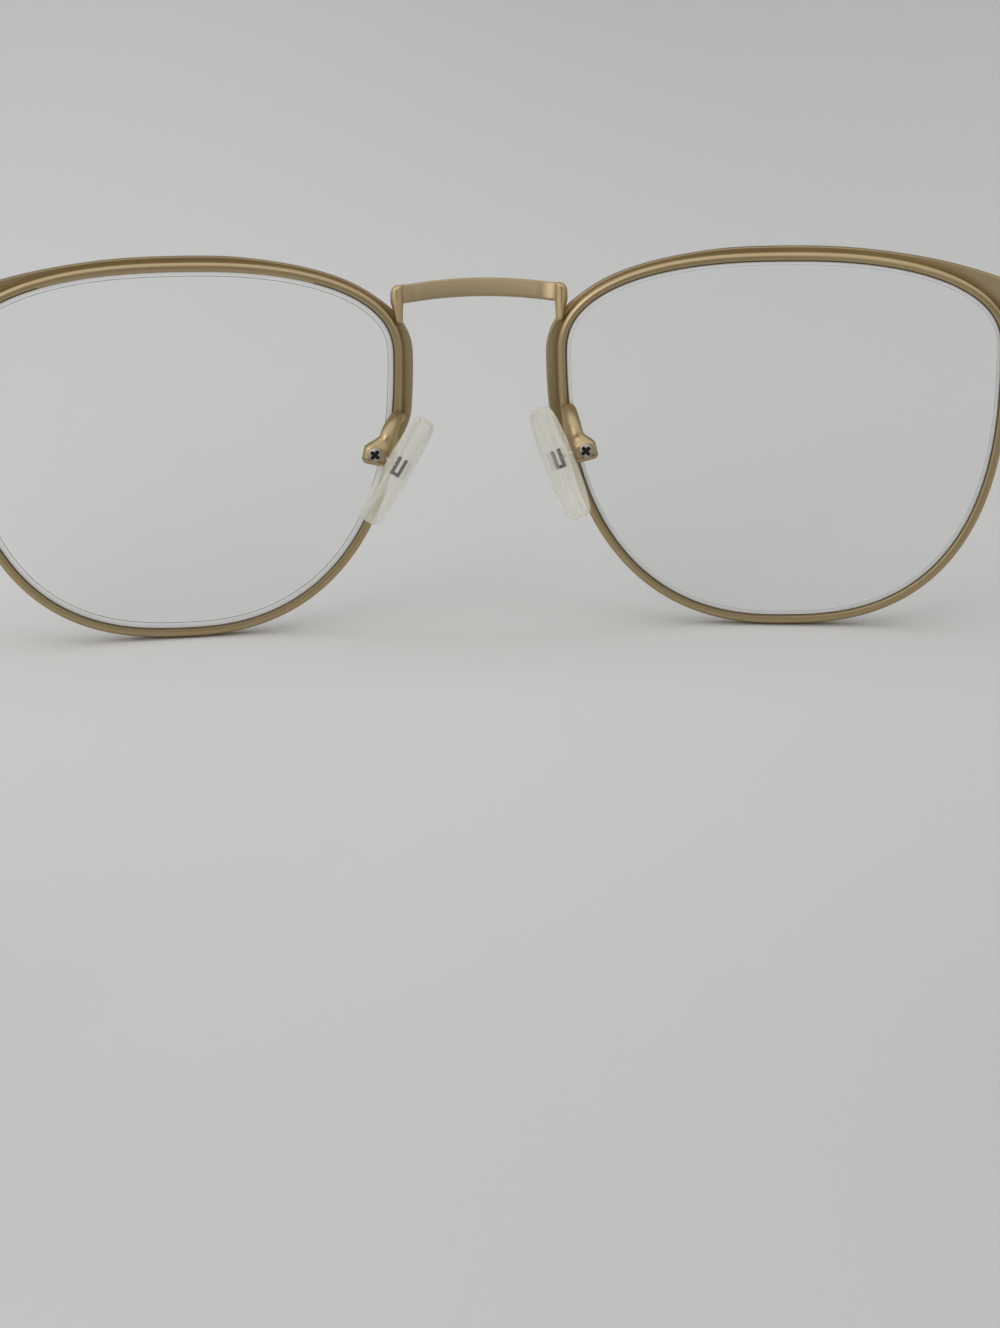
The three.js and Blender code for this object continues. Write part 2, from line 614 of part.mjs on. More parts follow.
// One hinge leaf about the screw at the origin: a flat leaf along +Y with a round knuckle at its end
function leafBlank() {
  const face = KNUCKLE_RADIUS + KNUCKLE_GAP - SOLDER;
  const start = KNUCKLE_RADIUS + KNUCKLE_GAP;
  const shape = new THREE.Shape();
  shape.moveTo(face, start + LEAF_LENGTH);
  shape.lineTo(face - LEAF_THICKNESS, start + LEAF_LENGTH);
  shape.lineTo(face - LEAF_THICKNESS, start + KNUCKLE_RADIUS);
  shape.lineTo(-KNUCKLE_RADIUS, 0);
  shape.absarc(0, 0, KNUCKLE_RADIUS, Math.PI, 2 * Math.PI, false);
  shape.lineTo(face, start);
  const flat = { depth: HINGE_HEIGHT, bevelEnabled: false, curveSegments: 12 };
  return new THREE.ExtrudeGeometry(shape, flat).translate(0, 0, -HINGE_HEIGHT / 2);
}

function clearAround(height, level) {
  const reach = KNUCKLE_RADIUS + KNUCKLE_GAP;
  const size = new THREE.Vector3(reach * CUT_THROUGH, reach * 2, height);
  return box(size, new THREE.Vector3(0, 0, level));
}

function frontLeafGeometry() {
  const middle = clearAround(KNUCKLE_HEIGHT + 2 * KNUCKLE_PLAY, 0);
  return cut(leafBlank(), middle, drill(HINGE_SCREW, HINGE_HEIGHT * CUT_THROUGH));
}

function templeLeafGeometry() {
  const level = KNUCKLE_HEIGHT / 2 + HINGE_HEIGHT / 2;
  const blank = cut(
    leafBlank(),
    clearAround(HINGE_HEIGHT, level), clearAround(HINGE_HEIGHT, -level),
    drill(HINGE_SCREW, HINGE_HEIGHT * CUT_THROUGH),
  );
  return blank.rotateX(Math.PI);
}

// The temple's course from the hinge screw: level, round the ear, then straight down to its tip
function templeCourse(hingeLevel) {
  const drop = EAR_RADIUS * (1 - Math.cos(EAR_ANGLE));
  const lowest = Math.hypot(TIP_ROUND * Math.sin(EAR_ANGLE), (TIP_HEIGHT / 2) * Math.cos(EAR_ANGLE));
  const behind = (hingeLevel - lowest - drop) / Math.sin(EAR_ANGLE);
  const arc = EAR_RADIUS * EAR_ANGLE;
  const end = TEMPLE_LENGTH - TIP_ROUND;
  const bend = end - behind - arc;
  const place = (s) => {
    const angle = THREE.MathUtils.clamp((s - bend) / EAR_RADIUS, 0, EAR_ANGLE);
    const past = Math.max(0, s - bend - arc);
    const level = Math.min(s, bend);
    const lean = TIP_LEAN * Math.max(0, (s - bend) / (end - bend)) ** 2;
    return {
      middle: new THREE.Vector3(
        KNUCKLE_RADIUS + KNUCKLE_GAP + TEMPLE_THICKNESS / 2 - lean,
        -level - EAR_RADIUS * Math.sin(angle) - past * Math.cos(EAR_ANGLE),
        -EAR_RADIUS * (1 - Math.cos(angle)) - past * Math.sin(EAR_ANGLE),
      ),
      upright: new THREE.Vector3(0, -Math.sin(angle), Math.cos(angle)),
    };
  };
  return { bend, end, mouth: bend - TIP_LEAD, place };
}

function ringOnCourse(course, s, section) {
  const { middle, upright } = course.place(s);
  return section.map((point) => middle.clone().add(new THREE.Vector3(point.x, 0, 0))
    .addScaledVector(upright, point.y));
}

function coreSection(grow) {
  return chamfered(CORE_THICKNESS + 2 * grow, CORE_HEIGHT + 2 * grow, TEMPLE_CHAMFER);
}

function coreSteps(course) {
  return spread(course.mouth, course.mouth + CORE_LENGTH, CORE_STEPS);
}

// Strip that narrows toward the ear, then a thinner core that goes into the tip
function templeGeometry(course) {
  const from = BUTT_GAP / 2;
  const to = course.mouth - CORE_CLEARANCE;
  const strip = spread(0, 1, TEMPLE_STEPS).map((share) => {
    const height = THREE.MathUtils.lerp(HINGE_HEIGHT, TEMPLE_END_HEIGHT, share);
    const section = chamfered(TEMPLE_THICKNESS, height, TEMPLE_CHAMFER);
    return ringOnCourse(course, THREE.MathUtils.lerp(from, to, share), section);
  });
  const core = coreSteps(course).map((s) => ringOnCourse(course, s, coreSection(0)));
  const shoulder = ringOnCourse(course, to, coreSection(0));
  return loft([...strip, shoulder, ...core], coreSection(0));
}

// Acetate sleeve: slim at its mouth, full behind the ear, round at its end, with a slot for the core
function tipGeometry(course) {
  const angles = spread(0, 2 * Math.PI, TIP_STEPS.sides).slice(1);
  const oval = (share) => angles.map((angle) => new THREE.Vector2(
    (TIP_THICKNESS / 2) * squared(Math.cos(angle), TIP_SQUARE) * share,
    (TIP_HEIGHT / 2) * Math.sin(angle) * share,
  ));
  const along = spread(0, 1, TIP_STEPS.along).map((share) => ringOnCourse(
    course,
    THREE.MathUtils.lerp(course.mouth, course.end, share),
    oval(THREE.MathUtils.lerp(TIP_MOUTH, 1, THREE.MathUtils.smoothstep(share, 0, TIP_FULL_AT))),
  ));
  const cap = spread(0, Math.PI / 2, TIP_STEPS.end).slice(1, -1).map((angle) => ringOnCourse(
    course, course.end + TIP_ROUND * Math.sin(angle), oval(Math.cos(angle)),
  ));
  const steps = coreSteps(course);
  const past = 2 * CORE_CLEARANCE;
  const slot = [steps[0] - past, ...steps, steps[steps.length - 1] + past]
    .map((s) => ringOnCourse(course, s, coreSection(CORE_CLEARANCE)));
  return cut(loft([...along, ...cap], oval(1)), loft(slot, coreSection(0)));
}

function named(name, geometry, material) {
  const mesh = new THREE.Mesh(geometry, material);
  mesh.name = name;
  return mesh;
}

const rim = rimGeometry();
const onPlate = plateStations();
const tab = tabStations(onPlate);

// The front leans by its tilt and is lifted until the chins of the rims touch the surface below
const glasses = new THREE.Group();
const front = new THREE.Group();
front.rotation.x = -FRONT_TILT;
const leaning = rim.clone().applyMatrix4(new THREE.Matrix4().makeRotationX(-FRONT_TILT));
leaning.computeBoundingBox();
front.position.z = -leaning.boundingBox.min.z;
front.updateMatrix();
front.add(named('bridge', bridgeGeometry(), gold));
glasses.add(front);

const hingeAt = tab.end.clone().applyMatrix4(front.matrix)
  .add(new THREE.Vector3(-KNUCKLE_RADIUS - KNUCKLE_GAP, -BUTT_GAP / 2, 0));

function frontHalf(side) {
  const half = new THREE.Group();
  const boxAt = BOX_AT.clone().setX(BOX_AT.x + BOX_SET[side]);
  const padTurn = new THREE.Group();
  padTurn.position.copy(boxAt);
  padTurn.rotation.y = -PAD_SET[side];
  padTurn.add(
    named(`${side}_nose_pad`, padGeometry(), silicone),
    named(`${side}_pad_core`, padCoreGeometry(), steel),
  );
  const padScrew = screw(PAD_SCREW, BOX_SIZE.y + HEAD_HEIGHT / 2, 2, PAD_HEAD_RATIO).rotateX(Math.PI / 2);
  half.add(
    named(`${side}_rim`, rim, gold),
    named(`${side}_lens`, lensGeometry(), clearLens),
    named(`${side}_brow_plate`, plateGeometry([...onPlate, ...tab.stations]), gold),
    named(`${side}_upper_rim_lock`, lockGeometry(-RIM_SPLIT / 2 - LOCK_LENGTH), gold),
    named(`${side}_lower_rim_lock`, lockGeometry(RIM_SPLIT / 2), gold),
    named(`${side}_rim_lock_screw`, lockScrewGeometry(), steel),
    named(`${side}_pad_arm`, padArmGeometry(boxAt), gold),
    named(`${side}_pad_screw`, padScrew.translate(
      boxAt.x, boxAt.y - BOX_SIZE.y / 2 - SOLDER, boxAt.z,
    ), steel),
    padTurn,
  );
  return half;
}

function templeHalf(side) {
  const half = new THREE.Group();
  const course = templeCourse(hingeAt.z);
  half.position.copy(hingeAt);
  half.add(
    named(`${side}_front_hinge_leaf`, frontLeafGeometry(), gold),
    named(`${side}_temple_hinge_leaf`, templeLeafGeometry(), gold),
    named(`${side}_hinge_screw`, screw(HINGE_SCREW, HINGE_HEIGHT, 1).translate(
      0, 0, HINGE_HEIGHT / 2 + SOLDER,
    ), steel),
    named(`${side}_temple`, templeGeometry(course), gold),
    named(`${side}_temple_tip`, tipGeometry(course), acetate),
  );
  return half;
}

for (const [side, mirror] of [['right', 1], ['left', -1]]) {
  const frontSide = new THREE.Group();
  frontSide.scale.x = mirror;
  frontSide.add(frontHalf(side));
  front.add(frontSide);
  const templeSide = new THREE.Group();
  templeSide.scale.x = mirror;
  templeSide.add(templeHalf(side));
  glasses.add(templeSide);
}

// The origin is the middle of the whole, on the surface that it stands on
const extent = new THREE.Box3().setFromObject(glasses, true);
glasses.position.y = -(extent.min.y + extent.max.y) / 2;

export default glasses;
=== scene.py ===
# Panto eyeglasses with a brow sheet, standing open on a pale sweep and seen from behind.
import json
import math

import bmesh
import bpy
from mathutils import Matrix, Vector


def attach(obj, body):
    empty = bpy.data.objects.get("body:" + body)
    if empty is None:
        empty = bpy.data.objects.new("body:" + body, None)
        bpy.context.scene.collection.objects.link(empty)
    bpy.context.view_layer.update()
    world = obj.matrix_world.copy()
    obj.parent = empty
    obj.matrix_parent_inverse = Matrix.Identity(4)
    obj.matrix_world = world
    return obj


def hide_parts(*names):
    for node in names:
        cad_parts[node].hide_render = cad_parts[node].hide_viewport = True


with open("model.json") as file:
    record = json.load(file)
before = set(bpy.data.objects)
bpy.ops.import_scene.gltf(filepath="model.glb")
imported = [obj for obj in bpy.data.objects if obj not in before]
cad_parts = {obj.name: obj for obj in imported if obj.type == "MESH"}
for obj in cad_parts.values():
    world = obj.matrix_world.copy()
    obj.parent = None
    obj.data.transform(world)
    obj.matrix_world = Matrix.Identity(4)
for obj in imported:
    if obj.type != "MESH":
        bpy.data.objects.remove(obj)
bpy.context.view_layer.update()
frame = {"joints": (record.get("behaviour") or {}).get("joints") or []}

# Rims: each is one length of grooved wire rolled to the outline of its lens and cut at the temple side,
# where a lock closes it. Alloy wire, blasted to a fine satin and plated champagne gold, with the two
# corners of its back rounded over. They stand on their chins and carry everything else.
MM = 0.001
SIDES = {"right": 1, "left": -1}
LENS_WIDTH, LENS_HEIGHT, LENS_BROW = 51, 42.4, 10.8
BROW_POWER, CHIN_SIDE_POWER, CHIN_NOSE_POWER = 2.4, 2.55, 2.33
WIDEST = LENS_HEIGHT / 2 - LENS_BROW
BRIDGE_GAP, FRONT_CURVE = 19.6, 130
LENS_X = (LENS_WIDTH + BRIDGE_GAP) / 2
FACE_FORM, FRONT_TILT = math.radians(6), math.radians(8)
PAD_BOX_AT = {"right": Vector((11.75, -5.8, -0.2)), "left": Vector((12.45, -5.8, -0.2))}
RIM_LIP, RIM_OUTER, RIM_HALF, GROOVE_HALF, GROOVE_BOTTOM = -0.5, 0.6, 1, 0.65, 0.15
RIM_BACK_ROUND, RIM_FRONT_ROUND, BACK_LIP_ROUND, FRONT_LIP_ROUND = 0.75, 0.25, 0.17, 0.14
GROOVE_EDGE, GROOVE_ROUND, RIM_CORNER_STEPS = 0.05, 0.08, 5
RIM_SPLIT, RIM_RINGS, LOCK_HEIGHT = 0.12, 280, 11.4
SATIN_PALE, SATIN_DEEP = (0.47, 0.37, 0.22, 1), (0.41, 0.315, 0.175, 1)
SATIN_ROUGHNESS, SATIN_GRAIN, GOLD_GLANCE = 0.36, 5200, (0.86, 0.76, 0.58, 1)
CLOUD_SIZE, CLOUD_SHINE, GRAIN_SHINE, GRAIN_STRENGTH, GRAIN_DEPTH = 310, 0.08, 0.06, 0.35, 0.000004
# Dark brown gold of the painted shade in each rim's groove and on its back lip's inner corner.
GROOVE_SHADE_PALE, GROOVE_SHADE_DEEP, GROOVE_ROUGHNESS = (0.18, 0.14, 0.08, 1), (0.11, 0.085, 0.05, 1), 0.5
GROOVE_ROWS, LIP_ROWS = 3 * RIM_CORNER_STEPS + 2, 4 * RIM_CORNER_STEPS + 3
SHADED_LIP_UNDER = {"right": 1.1, "left": 0.5}
NUDGE, ROUNDING = 0.001, 1e-9

joint_at = {joint["name"]: Vector(joint["pos_m"]) / MM for joint in frame["joints"]}
lean = Matrix.Rotation(-FRONT_TILT, 4, "X")
stand = Matrix.Translation(joint_at["right_pad_rock"] - lean @ PAD_BOX_AT["right"]) @ lean


def spread(start, end, steps):
    return [start + (end - start) * k / steps for k in range(steps + 1)]


def outline_curve(above, outward):
    """Half height and power of the curve that one part of the lens outline follows."""
    if above:
        return LENS_BROW, BROW_POWER
    return LENS_HEIGHT - LENS_BROW, CHIN_SIDE_POWER if outward else CHIN_NOSE_POWER


def lens_edge(angle, offset=0):
    """Point of the lens outline, seen at an angle from the middle of its widest line, moved outward."""
    def at(turn):
        half, power = outline_curve(math.sin(turn) >= 0, math.cos(turn) >= 0)
        across = abs(math.cos(turn) / (LENS_WIDTH / 2)) ** power
        reach = (across + abs(math.sin(turn) / half) ** power) ** (-1 / power)
        return Vector((reach * math.cos(turn), WIDEST + reach * math.sin(turn)))
    run = (at(angle + NUDGE) - at(angle - NUDGE)).normalized()
    return at(angle) + Vector((run.y, -run.x)) * offset


def walk(start, end, steps, fineness=12):
    """Angles that part a stretch of the outline into equal lengths."""
    fine = spread(start, end, steps * fineness)
    places = [lens_edge(angle) for angle in fine]
    run = [0]
    for here, there in zip(places, places[1:]):
        run.append(run[-1] + (there - here).length)
    angles, k = [], 0
    for share in spread(0, run[-1], steps):
        while run[k] < share - ROUNDING:
            k += 1
        angles.append(fine[k])
    return angles


def angle_at_height(height, outward):
    rise = height - WIDEST
    half, power = outline_curve(rise >= 0, outward)
    across = LENS_WIDTH / 2 * (1 - abs(rise / half) ** power) ** (1 / power)
    return math.atan2(rise, across if outward else -across)


def on_front(flat, lift=0):
    """From a lens's own plane onto the curved front, lifted forward."""
    depth = lift - flat.length_squared / (2 * FRONT_CURVE)
    return Vector((
        LENS_X + flat.x * math.cos(FACE_FORM) + depth * math.sin(FACE_FORM),
        depth * math.cos(FACE_FORM) - flat.x * math.sin(FACE_FORM),
        flat.y,
    ))


def rounded(corners, steps=4):
    """Outline through (x, y, radius) corners, each one turned over its own radius."""
    outline = []
    for k, (x, y, radius) in enumerate(corners):
        corner = Vector((x, y))
        before = Vector(corners[k - 1][:2]) - corner
        after = Vector(corners[(k + 1) % len(corners)][:2]) - corner
        reach = radius / math.tan(before.angle(after) / 2)
        start, end = corner + before.normalized() * reach, corner + after.normalized() * reach
        for share in spread(0, 1, steps):
            outline.append(start.lerp(corner, share).lerp(corner.lerp(end, share), share))
    return outline


def skin(rings, closed=False):
    """Points and faces of a tube through equal rings, with its two ends closed flat."""
    count, rows = len(rings[0]), len(rings)
    faces = []
    for k in range(rows if closed else rows - 1):
        here, there = k * count, (k + 1) % rows * count
        faces += [(here + i, here + (i + 1) % count, there + (i + 1) % count, there + i)
                  for i in range(count)]
    if not closed:
        faces += [tuple(range(count))[::-1], tuple(range(count * (rows - 1), count * rows))]
    return [point for ring in rings for point in ring], faces


def placed(part, matrix):
    return [matrix @ point for point in part[0]], part[1]


def mesh_of(name, parts, scale, side=1):
    """One mesh of (points, faces) parts in millimetres, mirrored over for the left side."""
    points, faces = [], []
    for part_points, part_faces in parts:
        faces += [tuple(len(points) + i for i in face) for face in part_faces]
        points += part_points
    mesh = bpy.data.meshes.new(name)
    mesh.from_pydata([(p.x * side * scale, p.y * scale, p.z * scale) for p in points], [], faces)
    work = bmesh.new()
    work.from_mesh(mesh)
    bmesh.ops.recalc_face_normals(work, faces=work.faces)
    work.to_mesh(mesh)
    work.free()
    return mesh


def add_piece(name, parts, finishes, body, node, side="right", crease=40):
    """Adds a piece that stands for a node, moves with its body and takes the finishes it is given."""
    mesh = mesh_of(name, parts, MM, SIDES[side])
    mesh.polygons.foreach_set("use_smooth", [True] * len(mesh.polygons))
    mesh.set_sharp_from_angle(angle=math.radians(crease))
    for finish in finishes:
        mesh.materials.append(finish)
    piece = bpy.data.objects.new(name, mesh)
    bpy.context.collection.objects.link(piece)
    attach(piece, body)
    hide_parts(node)
    return piece


def paint(piece, finish, faces):
    for number in faces:
        piece.data.polygons[number].material_index = finish


class Wire:
    """A socket of a shader: sums written on it add Math nodes, and add() makes any other node."""

    def __init__(self, tree, socket=None):
        self.tree, self.socket = tree, socket

    def add(self, kind, settings=None, inputs=None, output=0):
        node = self.tree.nodes.new(kind)
        for name, value in (settings or {}).items():
            if name == "stops":
                for stop, (place, colour) in zip(node.color_ramp.elements, value):
                    stop.position, stop.color = place, colour
            else:
                setattr(node, name, value)
        for name, value in (inputs or {}).items():
            sockets = [socket for socket in node.inputs if socket.enabled]
            by_name = {socket.name: socket for socket in sockets[::-1]}
            socket = sockets[name] if isinstance(name, int) else by_name[name]
            if isinstance(value, Wire):
                self.tree.links.new(value.socket, socket)
            else:
                socket.default_value = value
        outputs = [socket for socket in node.outputs if socket.enabled]
        if not outputs:
            return None
        picked = outputs[output] if isinstance(output, int) else node.outputs[output]
        return Wire(self.tree, picked)

    def sum(self, operation, first, second):
        return self.add("ShaderNodeMath", {"operation": operation}, {0: first, 1: second})

    def __add__(self, other):
        return self.sum("ADD", self, other)

    def __radd__(self, other):
        return self.sum("ADD", other, self)

    def __mul__(self, other):
        return self.sum("MULTIPLY", self, other)

    def __rmul__(self, other):
        return self.sum("MULTIPLY", other, self)

    def __pow__(self, other):
        return self.sum("POWER", self, other)

    def __rpow__(self, other):
        return self.sum("POWER", other, self)


def new_finish(name):
    """A bare material, and a wire to build it on."""
    finish = bpy.data.materials.new(name)
    finish.use_nodes = True
    finish.node_tree.nodes.clear()
    return finish, Wire(finish.node_tree)


def clouds(wire, place, size, detail=2.0):
    return wire.add("ShaderNodeTexNoise", {}, {"Vector": place, "Scale": size, "Detail": detail})


def tinted(wire, share, pale, deep):
    return wire.add("ShaderNodeMix", {"data_type": "RGBA"}, {"Factor": share, "A": pale, "B": deep})


def pitted(wire, height, strength, depth):
    return wire.add("ShaderNodeBump", {}, {"Strength": strength, "Distance": depth, "Height": height})


def satin_metal(name, pale, deep, roughness, grain_size, glance=GOLD_GLANCE):
    """Plated metal over a blasted ground: fine grain, and slow clouds in its colour and shine."""
    finish, wire = new_finish(name)
    place = wire.add("ShaderNodeTexCoord", output="Object")
    grain, cloud = clouds(wire, place, grain_size), clouds(wire, place, CLOUD_SIZE, detail=3.0)
    smoothest = roughness - (CLOUD_SHINE + GRAIN_SHINE) / 2
    surface = wire.add("ShaderNodeBsdfPrincipled", {}, {
        "Base Color": tinted(wire, cloud, pale, deep),
        "Metallic": 1.0,
        "Specular Tint": glance,
        "Roughness": smoothest + CLOUD_SHINE * cloud + GRAIN_SHINE * grain,
        "Normal": pitted(wire, grain, GRAIN_STRENGTH, GRAIN_DEPTH),
    })
    wire.add("ShaderNodeOutputMaterial", {}, {"Surface": surface})
    return finish


satin_gold = satin_metal("satin_champagne_plate", SATIN_PALE, SATIN_DEEP, SATIN_ROUGHNESS, SATIN_GRAIN)
# Painted shade: a dark brown copy of the gold for the groove and the lip's inner corner.
painted_groove_shade = satin_metal("painted_groove_shade", GROOVE_SHADE_PALE, GROOVE_SHADE_DEEP, GROOVE_ROUGHNESS, SATIN_GRAIN)
split_angle = angle_at_height(LOCK_HEIGHT, True)
split_turn = RIM_SPLIT / 2 / (lens_edge(split_angle) - Vector((0, WIDEST))).length
rim_section = rounded([
    (RIM_LIP, GROOVE_HALF, GROOVE_EDGE), (GROOVE_BOTTOM, 0, GROOVE_ROUND),
    (RIM_LIP, -GROOVE_HALF, GROOVE_EDGE), (RIM_LIP, -RIM_HALF, BACK_LIP_ROUND),
    (RIM_OUTER, -RIM_HALF, RIM_BACK_ROUND), (RIM_OUTER, RIM_HALF, RIM_FRONT_ROUND),
    (RIM_LIP, RIM_HALF, FRONT_LIP_ROUND),
], RIM_CORNER_STEPS)
rim_angles = walk(split_angle + split_turn, split_angle + 2 * math.pi - split_turn, RIM_RINGS)
rim_wire = placed(skin([
    [on_front(lens_edge(angle, p.x), p.y) for p in rim_section] for angle in rim_angles
]), stand)
for side in SIDES:
    rim = add_piece(f"{side}_rim_wire", [rim_wire], [satin_gold, painted_groove_shade], "front",
                    f"{side}_rim", side)
    # Painted shade: the groove rows are painted dark all round, and the lip's inner corner too, all round
    # the right rim and below the brow on the left.
    for ring in range(RIM_RINGS):
        rows = LIP_ROWS if math.sin(rim_angles[ring]) < SHADED_LIP_UNDER[side] else GROOVE_ROWS
        paint(rim, 1, [ring * len(rim_section) + row for row in range(rows)])

# Lenses: clear plano lenses, moulded on the front's own curve and edged with a V bevel that snaps into
# the groove of the rim. The faces are polished; the edge and a facet round the back are ground and
# painted pale: partly frosting, partly painted light for the light carried in the edge. The arris where
# that facet meets the back face is painted as a fine grey line, a painted shade.
LENS_HALF, LENS_FACE_EDGE, FRONT_FACET, FACET_DEPTH = 1, -0.53, 0.05, 0.2
CHIN_FACET, BROW_FACET = {"right": 0.4, "left": 0.6}, {"right": 0.32, "left": 0.43}
ARRIS = {"right": 0.04, "left": 0.08}
FACET_CHANGES, EDGE_ROWS, LENS_RINGS = (-0.3, 0.8), 6, (0.03, 0.3, 0.55, 0.75, 0.9)
LENS_TINT, EDGE_TINT = (0.985, 0.99, 0.988, 1), (0.97, 0.975, 0.97, 1)
ARRIS_TINT, ARRIS_SHADE_GREY, GROUND_LIT_PALE = (0.9, 0.91, 0.91, 1), (0.10, 0.11, 0.11, 1), (0.69, 0.69, 0.68, 1)
POLISH_SIZE, GROUND_SIZE, ARRIS_SIZE, GROUND_STRENGTH, GROUND_DEPTH = 90, 6000, 4000, 0.4, 0.00001


def ease(value, low, high):
    share = min(max((value - low) / (high - low), 0), 1)
    return share * share * (3 - 2 * share)


def blend(start, end, share):
    return start + (end - start) * share


def see_through(name, tint, solid, share):
    """A clear finish: light goes straight through, but for a share that meets the solid surface."""
    finish, wire = new_finish(name)
    place = wire.add("ShaderNodeTexCoord", output="Object")
    facing = wire.add("ShaderNodeLayerWeight", {}, {"Blend": 0.5}, output="Facing")
    surface = wire.add("ShaderNodeBsdfPrincipled", {}, solid(wire, place))
    clear = wire.add("ShaderNodeBsdfTransparent", {}, {"Color": tint})
    wire.add("ShaderNodeOutputMaterial", {}, {"Surface": wire.add("ShaderNodeMixShader", {}, {
        0: share(facing), 1: clear, 2: surface,
    })})
    return finish


def polished_face(wire, place):
    polish = clouds(wire, place, POLISH_SIZE)
    return {"Base Color": (1, 1, 1, 1), "Metallic": 1.0, "Roughness": 0.16 + 0.06 * polish}


# Painted pale and mostly opaque: partly frosting, partly painted light for the light carried in the lens
# edge.
def ground_and_lit_face(wire, place):
    frost = clouds(wire, place, GROUND_SIZE)
    return {"Base Color": GROUND_LIT_PALE, "Roughness": 0.4 + 0.3 * frost,
            "Normal": pitted(wire, frost, GROUND_STRENGTH, GROUND_DEPTH)}


# Painted shade: a dark grey line where the arris looks dark.
def arris_shade_face(wire, place):
    return {"Base Color": ARRIS_SHADE_GREY, "Roughness": 0.3 + 0.2 * clouds(wire, place, ARRIS_SIZE)}


clear_lens = see_through("polished_clear_lens", LENS_TINT, polished_face,
                         lambda facing: 0.015 + 0.5 * facing ** 5.0)
ground_and_lit_edge = see_through("ground_lit_edge_finish", EDGE_TINT, ground_and_lit_face, lambda facing: 0.7 + 0.1 * facing)
arris_shade_line = see_through("arris_painted_shade", ARRIS_TINT, arris_shade_face, lambda facing: 0.6 + 0.2 * facing)

lens_angles = walk(0, 2 * math.pi, RIM_RINGS)[1:]
edge_row = len(LENS_RINGS)


def lens_ring(offset, lift):
    return [on_front(lens_edge(angle, offset), lift) for angle in lens_angles]


def lens_face(lift):
    return [[on_front(lens_edge(angle) * share, lift) for angle in lens_angles] for share in LENS_RINGS]


for side in SIDES:
    facet_ring, arris_ring = [], []
    for angle in lens_angles:
        width = blend(CHIN_FACET[side], BROW_FACET[side], ease(math.sin(angle), *FACET_CHANGES))
        for ring, reach in ((facet_ring, width), (arris_ring, width + ARRIS[side])):
            ring.append(on_front(lens_edge(angle, LENS_FACE_EDGE - reach), -LENS_HALF))
    lens_body = skin([
        *lens_face(LENS_HALF), lens_ring(LENS_FACE_EDGE - FRONT_FACET, LENS_HALF),
        lens_ring(LENS_FACE_EDGE, LENS_HALF - FRONT_FACET), lens_ring(LENS_FACE_EDGE, -LENS_FACE_EDGE),
        lens_ring(0, 0), lens_ring(LENS_FACE_EDGE, LENS_FACE_EDGE),
        lens_ring(LENS_FACE_EDGE, FACET_DEPTH - LENS_HALF), facet_ring, arris_ring,
        *lens_face(-LENS_HALF)[::-1],
    ])
    lens_finishes = [clear_lens, ground_and_lit_edge, arris_shade_line]
    lens = add_piece(f"{side}_lens_glass", [placed(lens_body, stand)], lens_finishes, "front",
                     f"{side}_lens", side, crease=12)
    around, arris_row = len(lens_angles), edge_row + EDGE_ROWS
    # The edge and back facet take the pale ground finish, partly painted light; the arris ring takes the
    # painted shade line.
    paint(lens, 1, range(edge_row * around, arris_row * around))
    paint(lens, 2, range(arris_row * around, (arris_row + 1) * around))

# Brow sheets: one stamped sheet on each side lies on the front of the rim from beside the nose over the
# brow, widens into the end piece and is bent back as the tab of the hinge. It is soldered on, and its
# satin plating is painted a little darker than that of the rims, as painted shade.
SOLDER, SHEET_THICKNESS, SHEET_INSET = 0.1, 0.9, 0.15
SHEET_BACK_ROUND, SHEET_FRONT_ROUND, SHEET_START_ROUND, SHEET_END_ROUND = 0.12, 0.3, 0.2, 0.15
SHEET_LIFT = RIM_HALF + SOLDER
BROW_REVEAL, CORNER_REVEAL, NOSE_REVEAL = 0.5, 0.3, 1.3
SHEET_NARROWS = math.radians(115), math.radians(150)
SHEET_WIDENS = math.radians(163), math.radians(180)
SHEET_FADES = math.radians(194), math.radians(207)
SHEET_LEAVES_RIM, SHEET_ROOT, JUST_BEFORE = math.radians(47), math.radians(-7), 0.01
END_HEIGHT, END_REACH, END_RISE, END_SHARE, END_BEND = 14.4, 4.7, 0.48, 0.16, 1.3
HINGE_HEIGHT, TAB_LENGTH = 3.8, 7.2
END_ROOT = Vector((0.7, 1.2))
# The rims' gold made darker, as painted shade, for the brow sheets and the bridge strip.
SHADED_PLATE_PALE, SHADED_PLATE_DEEP = (0.435, 0.35, 0.213, 1), (0.38, 0.3, 0.177, 1)
BROW_STEPS, FLARE_STEPS, END_STEPS, BEND_STEPS, TAB_STEPS = 110, 40, 16, 12, 4


def bezier(a, b, c, d, share):
    ab, bc, cd = a.lerp(b, share), b.lerp(c, share), c.lerp(d, share)
    return ab.lerp(bc, share).lerp(bc.lerp(cd, share), share)


def with_ends(rings, start=0, end=0, steps=4):
    """Rounds a tube over at its ends: its last rings draw in toward their middles."""
    def closing(last, before, radius):
        middle = sum(last, Vector()) / len(last)
        way = (middle - sum(before, Vector()) / len(before)).normalized()
        turned = []
        for angle in spread(0, math.pi / 2, steps):
            draw, back = radius * (1 - math.cos(angle)), radius * (math.sin(angle) - 1)
            turned.append([p + (middle - p).normalized() * draw + way * back for p in last])
        return turned
    first = closing(rings[0], rings[1], start)[::-1] if start else rings[:1]
    final = closing(rings[-1], rings[-2], end) if end else rings[-1:]
    return [*first, *rings[1:-1], *final]


def sheet_inner(angle):
    return lens_edge(angle, RIM_LIP + SHEET_INSET)


